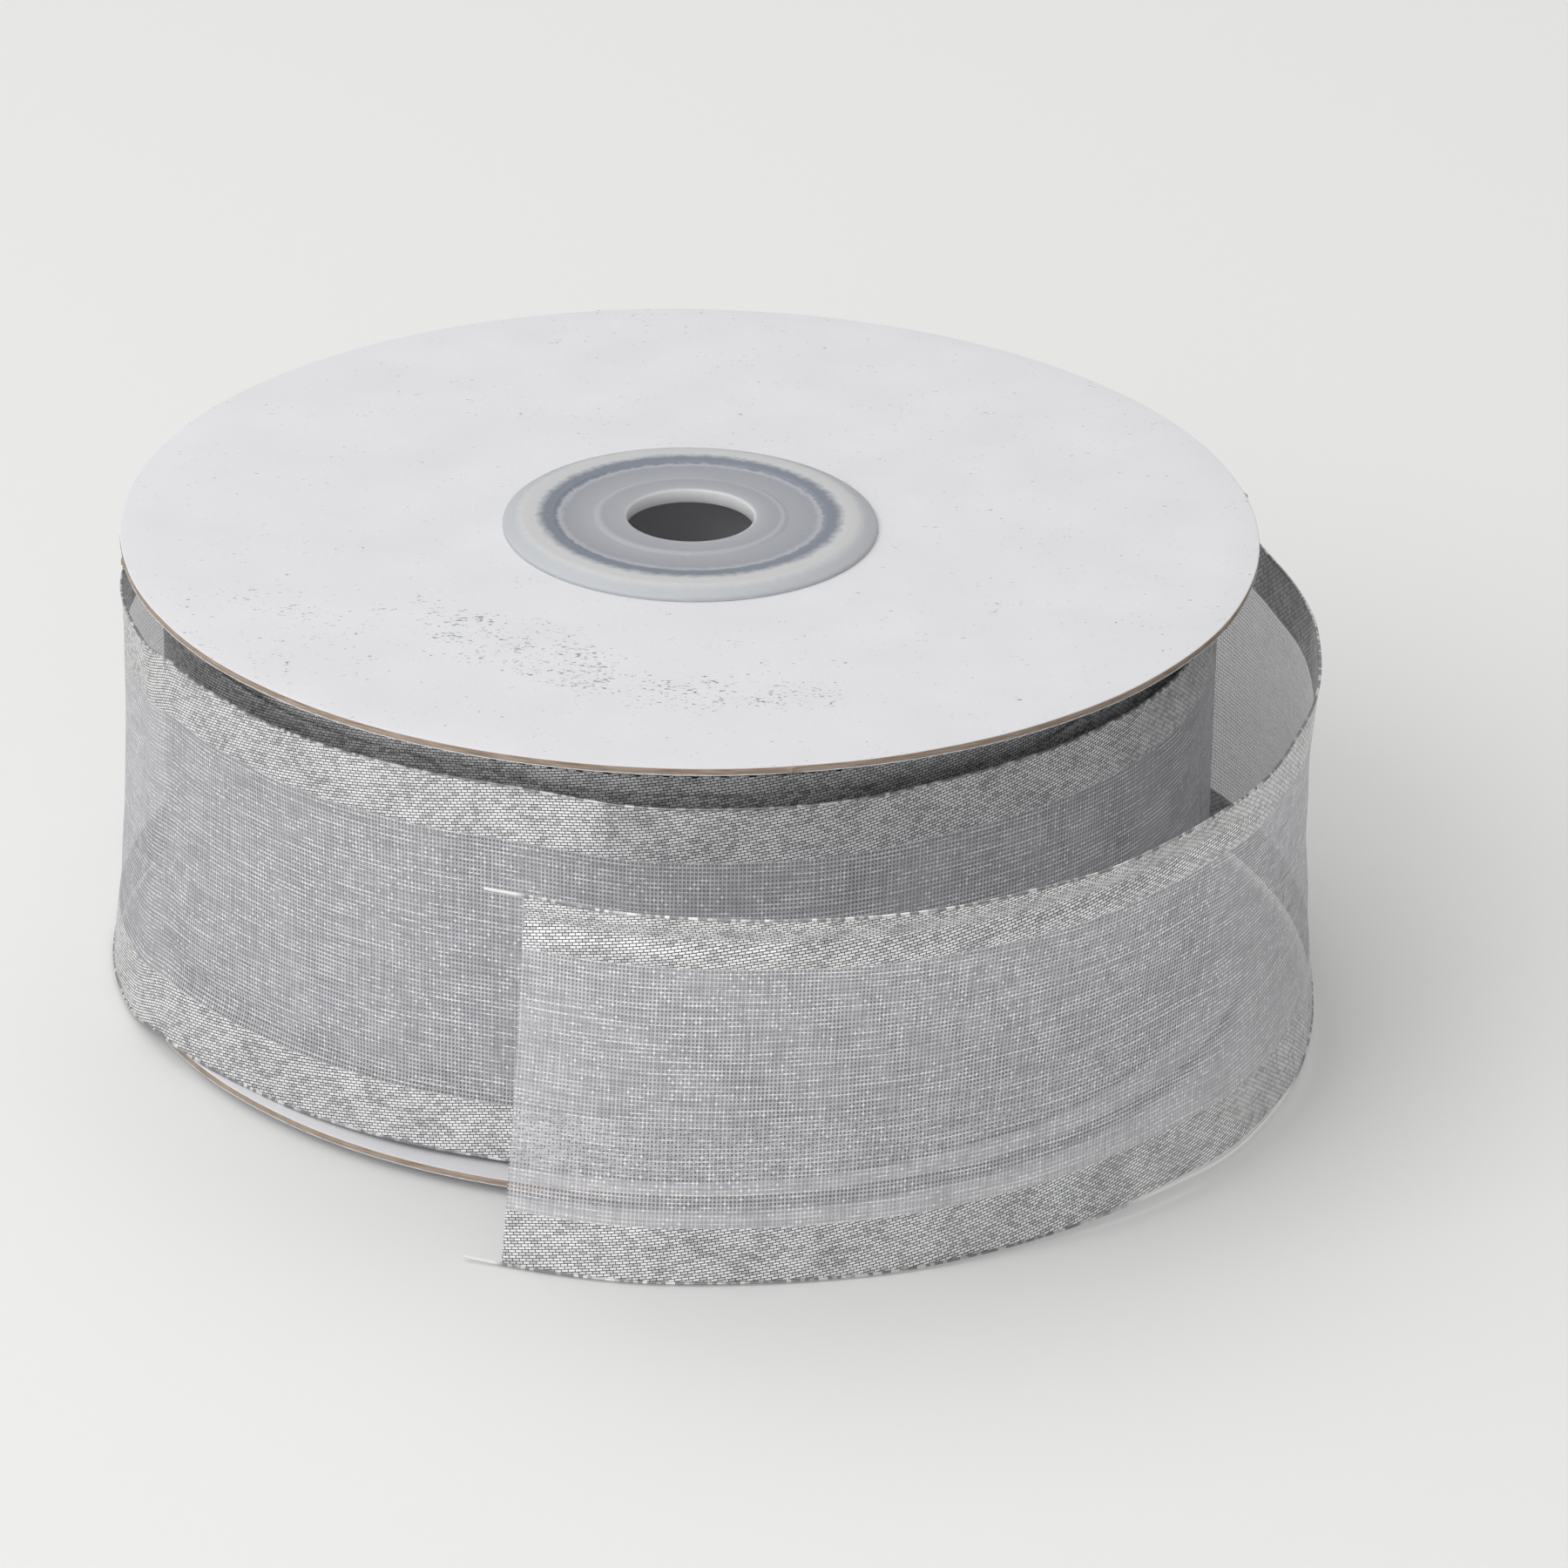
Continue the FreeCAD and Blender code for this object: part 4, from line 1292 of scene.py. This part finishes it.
@dataclass
class WoundRibbon:
    """The wound part of the ribbon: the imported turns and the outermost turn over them."""

    turns: int = 108
    steps: int = 72
    telescope: float = 2.5
    telescope_depth: float = 3.2
    waist: float = 0.30
    wrap_lift: float = 0.5
    wrap_outer: float = PACK_RADIUS + 0.835
    wrap_inner: float = PACK_RADIUS + 0.305
    join_azimuth: float = 345.0
    weave_start: float = 447.0

    def lift(self, radius: np.ndarray) -> np.ndarray:
        """How much higher the turns sit at a radius: a ramp near the outside, then level."""
        ramp = (radius - (PACK_RADIUS - self.telescope_depth - self.telescope)) / self.telescope
        return self.telescope * np.clip(ramp, 0, 1)

    def build(self, packed: bpy.types.Material, cloth: bpy.types.Material) -> None:
        """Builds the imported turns, whose edges spiral out, and the outermost turn.

        Args:
            packed: Finish of the pack, which nothing shows through.
            cloth: Finish of the outermost turn.
        """
        self.build_pack(packed)
        self.build_wrap(cloth)

    def build_pack(self, packed: bpy.types.Material) -> None:
        """Builds the pack: two spiral ridges of turn edges, joined by the outer and inner walls.

        The radius grows evenly with the turn, each edge is a small ridge with a valley beside
        it, and the heights wander as the winding machine let them.

        Args:
            packed: The finish.
        """
        rng = np.random.default_rng(CLOTH_SEED + 1)
        count = self.turns * self.steps + 1
        turn = np.arange(count) / self.steps
        pitch = (PACK_RADIUS - TUBE_RADIUS) / self.turns
        wander = 0.16 * smooth_noise(turn, 7.3, 8, rng) + 0.10 * smooth_noise(turn, 1.7, 5, rng)
        profile = ((0.0, -0.26), (0.3, 0.0), (0.7, 0.0), (0.97, -0.26))
        angle = 2 * np.pi * turn
        strips: list[np.ndarray] = []
        for top in (True, False):
            columns = []
            for offset, drop in profile:
                radius = TUBE_RADIUS + 0.02 + pitch * (turn - 1 + offset)
                radius = np.clip(radius, TUBE_RADIUS + 0.01, PACK_RADIUS)
                lifted = LOWER_SEAT + self.lift(radius)
                level = lifted + (RIBBON_WIDTH + drop - 0.32 + wander if top else 0.32 - drop + wander)
                columns.append(np.stack([radius * np.cos(angle), radius * np.sin(angle), level], 1))
            strips.append(np.stack(columns, 1))
        pieces = [(s.reshape(-1, 3), grid_faces(count, len(profile), False, False)) for s in strips]
        azimuth = np.linspace(0, 2 * np.pi, 720)
        share = np.linspace(0, 1, 39)
        outer = PACK_RADIUS - self.waist * np.sin(np.pi * share) ** 0.5
        lifted = LOWER_SEAT + self.telescope + 0.35
        height = lifted + (RIBBON_WIDTH - 0.7) * share
        wall = np.stack(
            [
                outer[None, :] * np.cos(azimuth)[:, None],
                outer[None, :] * np.sin(azimuth)[:, None],
                np.repeat(height[None, :], len(azimuth), 0),
            ],
            2,
        )
        pieces.append((wall.reshape(-1, 3), grid_faces(len(azimuth), len(share), False, False)))
        points = np.concatenate([p for p, _ in pieces])
        starts = np.cumsum([0] + [len(p) for p, _ in pieces[:-1]])
        faces = np.concatenate([f + s for (_, f), s in zip(pieces, starts)])
        piece = make_piece("ribbon_pack_turns", points, self.facing(points, faces), packed, 60.0)
        weave = [
            np.stack([np.repeat(turn * 200, 4), np.full(count * 4, edge), np.zeros(count * 4)], 1)
            for edge in (RIBBON_WIDTH - 1.0, 1.0)
        ]
        along, across = np.meshgrid(azimuth * PACK_RADIUS, share * RIBBON_WIDTH, indexing="ij")
        weave.append(np.stack([along.ravel(), across.ravel(), np.zeros(along.size)], 1))
        carry(piece, "weave_mm", np.concatenate(weave))
        flat = points[:, :2] / np.linalg.norm(points[:, :2], axis=1, keepdims=True)
        carry(piece, "warp_direction", np.stack([-flat[:, 1], flat[:, 0], 0 * flat[:, 0]], 1))
        dress(piece, "ribbon_cloth", "ribbon_pack")

    def facing(self, points: np.ndarray, faces: np.ndarray) -> np.ndarray:
        """Turns each face away from the middle of the wound mass.

        Args:
            points: Vertices.
            faces: Quads.

        Returns:
            The faces, turned over where they pointed into the mass.
        """
        a, b, c = (points[faces[:, i]] for i in range(3))
        normal = np.cross(b - a, c - a)
        middle = a.copy()
        middle[:, :2] *= (32.0 / np.linalg.norm(a[:, :2], axis=1))[:, None]
        middle[:, 2] = SPOOL_HEIGHT / 2
        away = a - middle
        steep = np.abs(normal[:, 2]) > np.linalg.norm(normal[:, :2], axis=1)
        sign = np.where(steep, normal[:, 2] * away[:, 2], (normal[:, :2] * away[:, :2]).sum(1))
        return np.where(sign[:, None] < 0, faces[:, ::-1], faces)

    def edge_sway(self, azimuth: np.ndarray) -> np.ndarray:
        """How much higher the outermost turn lies at each azimuth, by a level cubic.

        Args:
            azimuth: Degrees round the spool.

        Returns:
            Millimetres to add to the height.
        """
        at = np.array([-180.0, -130.0, -112.0, -98.0, -52.0, -42.0, -20.0, 60.0, 180.0])
        rise = np.array([0.2, 0.4, 0.75, 0.0, 0.0, 1.2, 0.5, 0.1, 0.2])
        wrapped = (azimuth.ravel() + 180) % 360 - 180
        return level_cubic(wrapped, at, rise).reshape(azimuth.shape)

    def build_wrap(self, cloth: bpy.types.Material) -> None:
        """Builds the outermost wound turn: one turn of a spiral, drawn in at the waist.

        Args:
            cloth: The finish.
        """
        columns, rows = 900, 77
        share = np.linspace(0, 1, columns)
        across = np.linspace(0, 1, rows)
        angle = np.radians(self.join_azimuth + 360 * share)[:, None]
        rng = np.random.default_rng(CLOTH_SEED + 2)
        radius = self.wrap_outer + (self.wrap_inner - self.wrap_outer) * share[:, None]
        waist = self.waist * np.sin(np.pi * across) ** 0.5 * np.sin(np.pi * share[:, None]) ** 0.3
        radius = radius - 0.8 * waist
        sway = self.edge_sway(np.degrees(angle)) + 0.06 * smooth_noise(share[:, None], 1.0, 9, rng)
        height = LOWER_SEAT + self.wrap_lift + sway + RIBBON_WIDTH * across[None, :]
        points = np.stack([radius * np.cos(angle), radius * np.sin(angle), height], 2)
        piece = ribbon_sheet("ribbon_outer_wrap_cloth", points, cloth, self.weave_start)
        dress(piece, "ribbon_cloth", "ribbon_outer_wrap")


@dataclass
class Studio:
    """Pale table and backdrop, a soft key from the front left, and the camera.

    A lamp has a name, a place and a side in metres, and a power in watts. The room is brighter on
    the left than on the right, and the camera sees an even backdrop in its place.
    """

    camera_place: tuple[float, float, float] = (0.0, -791.072, 392.621)
    camera_turn_deg: tuple[float, float, float] = (64.662, -0.9698, -0.2187)
    lens_mm: float = 208.93
    table: str = "e2e2e1"
    table_reach: float = 4000.0
    sky: float = 0.62
    left_share: float = 1.45
    right_share: float = 0.55
    backdrop: float = 0.76
    lamps: tuple[tuple[str, tuple[float, float, float], float, float], ...] = (
        ("key_softbox", (-0.55, -0.50, 0.74), 0.7, 3.8),
        ("top_softbox", (-0.10, 0.35, 0.95), 0.9, 2.9),
        ("front_fill", (-0.12, -0.95, 0.34), 0.8, 1.6),
    )

    def build(self) -> None:
        """Builds the table, the world, the lamps and the camera."""
        self.build_table()
        self.build_world()
        for lamp in self.lamps:
            self.lamp(*lamp)
        self.build_camera()

    def build_table(self) -> None:
        """Makes the table top: white card that takes the spool's shadow."""
        material, tree, output = new_material("table_card")
        shader = add_node(
            tree, "ShaderNodeBsdfPrincipled",
            {"Base Color": linear(self.table), "Roughness": 0.8, "Specular IOR Level": 0.2},
        )
        tree.links.new(shader.outputs[0], output.inputs[0])
        corners = np.array([(-1, -1, 0), (1, -1, 0), (1, 1, 0), (-1, 1, 0)]) * self.table_reach
        table = make_piece("table_top", corners, np.array([[0, 1, 2, 3]]), material)

    def build_world(self) -> None:
        """Makes the room: light that is stronger from the left, and a pale even backdrop."""
        world = bpy.data.worlds.new("studio_room")
        bpy.context.scene.world = world
        world.use_nodes = True
        tree = world.node_tree
        tree.nodes.clear()
        way = add_node(tree, "ShaderNodeTexCoord").outputs["Generated"]
        split = add_node(tree, "ShaderNodeSeparateXYZ", {0: way})
        side = add_node(
            tree, "ShaderNodeMapRange",
            {0: split.outputs[0], 1: -1.0, 2: 1.0, 3: self.left_share, 4: self.right_share},
        )
        room = add_node(tree, "ShaderNodeMath", {0: side, 1: self.sky}, operation="MULTIPLY")
        seen = add_node(tree, "ShaderNodeLightPath")
        level = add_node(
            tree, "ShaderNodeMix", {0: seen.outputs["Is Camera Ray"], 2: room, 3: self.backdrop}
        )
        light = add_node(
            tree, "ShaderNodeBackground", {"Color": (1.0, 1.0, 1.0, 1.0), "Strength": level}
        )
        output = add_node(tree, "ShaderNodeOutputWorld")
        tree.links.new(light.outputs[0], output.inputs[0])

    def lamp(self, name: str, place: tuple[float, float, float], size: float, watts: float) -> None:
        """Hangs a square softbox that faces the spool.

        Args:
            name: The lamp's name.
            place: Where it hangs, in metres.
            size: Its side, in metres.
            watts: Its power.
        """
        data = bpy.data.lights.new(name, "AREA")
        data.shape = "SQUARE"
        data.size = size
        data.energy = watts
        lamp = bpy.data.objects.new(name, data)
        bpy.context.scene.collection.objects.link(lamp)
        lamp.location = place
        aim = -np.array(place) + np.array([0, 0, 0.02])
        lamp.rotation_euler = (
            math.pi / 2 + math.atan2(aim[2], math.hypot(aim[0], aim[1])), 0.0,
            math.atan2(-aim[0], aim[1]),
        )

    def build_camera(self) -> None:
        """Sets up the camera at the photograph's viewpoint."""
        data = bpy.data.cameras.new("camera")
        data.lens = self.lens_mm
        data.sensor_width = 36.0
        camera = bpy.data.objects.new("camera", data)
        bpy.context.scene.collection.objects.link(camera)
        camera.location = [v * MM for v in self.camera_place]
        camera.rotation_euler = Euler([math.radians(v) for v in self.camera_turn_deg], "XYZ")
        bpy.context.scene.camera = camera


def build_core(nodes: dict[str, bpy.types.Object]) -> None:
    """Builds the paper tube as a smooth ring, and finishes the tape, whose CAD shape is right.

    Args:
        nodes: The CAD nodes by name.
    """
    paper = PlainFinish("spiral_wound_paperboard", "b8ad9f", 0.85).build()
    inner, outer = TUBE_BORE_RADIUS, TUBE_RADIUS
    ends = [(inner, LOWER_SEAT), (outer, LOWER_SEAT), (outer, UPPER_SEAT), (inner, UPPER_SEAT)]
    tube = Lathe(segments=192).build("core_tube_paper", ends, paper)
    dress(tube, "tube_board", "core_tube")
    tape = nodes["starting_tape"].data
    tape.materials.clear()
    tape.materials.append(PlainFinish("adhesive_tape_film", "d9d2bd", 0.35, 1.5).build())


def main() -> None:
    """Loads the frame and builds the spool, sub-assembly by sub-assembly, and the studio."""
    logging.basicConfig(level=logging.INFO)
    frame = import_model()
    bpy.context.scene.view_settings.view_transform = "Standard"
    build_core(frame["nodes"])
    board = Chipboard().build()
    clean = LinerPaper().build()
    scuffed = LinerPaper(name="liner_paper_scuffed", scuffed=True).build()
    Flange(Side.UPPER).build(board, scuffed, clean)
    Flange(Side.LOWER, nick_azimuths=(-106.0, -16.0, 74.0, 164.0)).build(board, clean, clean)
    plastic = NaturalPolypropylene().build()
    for side in Side:
        HubPlug(side).build(plastic)
    cloth = SilverOrganza().build()
    packed = SilverOrganza(name="silver_organza_packed", backed=True, sheer="d0cfd4").build()
    # The outermost wound turn lies in the upper flange's shade: its darker satin is a painted shade copy
    # of the cloth.
    shaded = SilverOrganza(name="silver_organza_wound_painted_shade", satin_dark="38383a", satin_metal=0.95)
    WoundRibbon().build(packed, shaded.build())
    LooseTurn().build(cloth, NylonFilament().build())
    Studio().build()


if __name__ == "__main__":
    main()
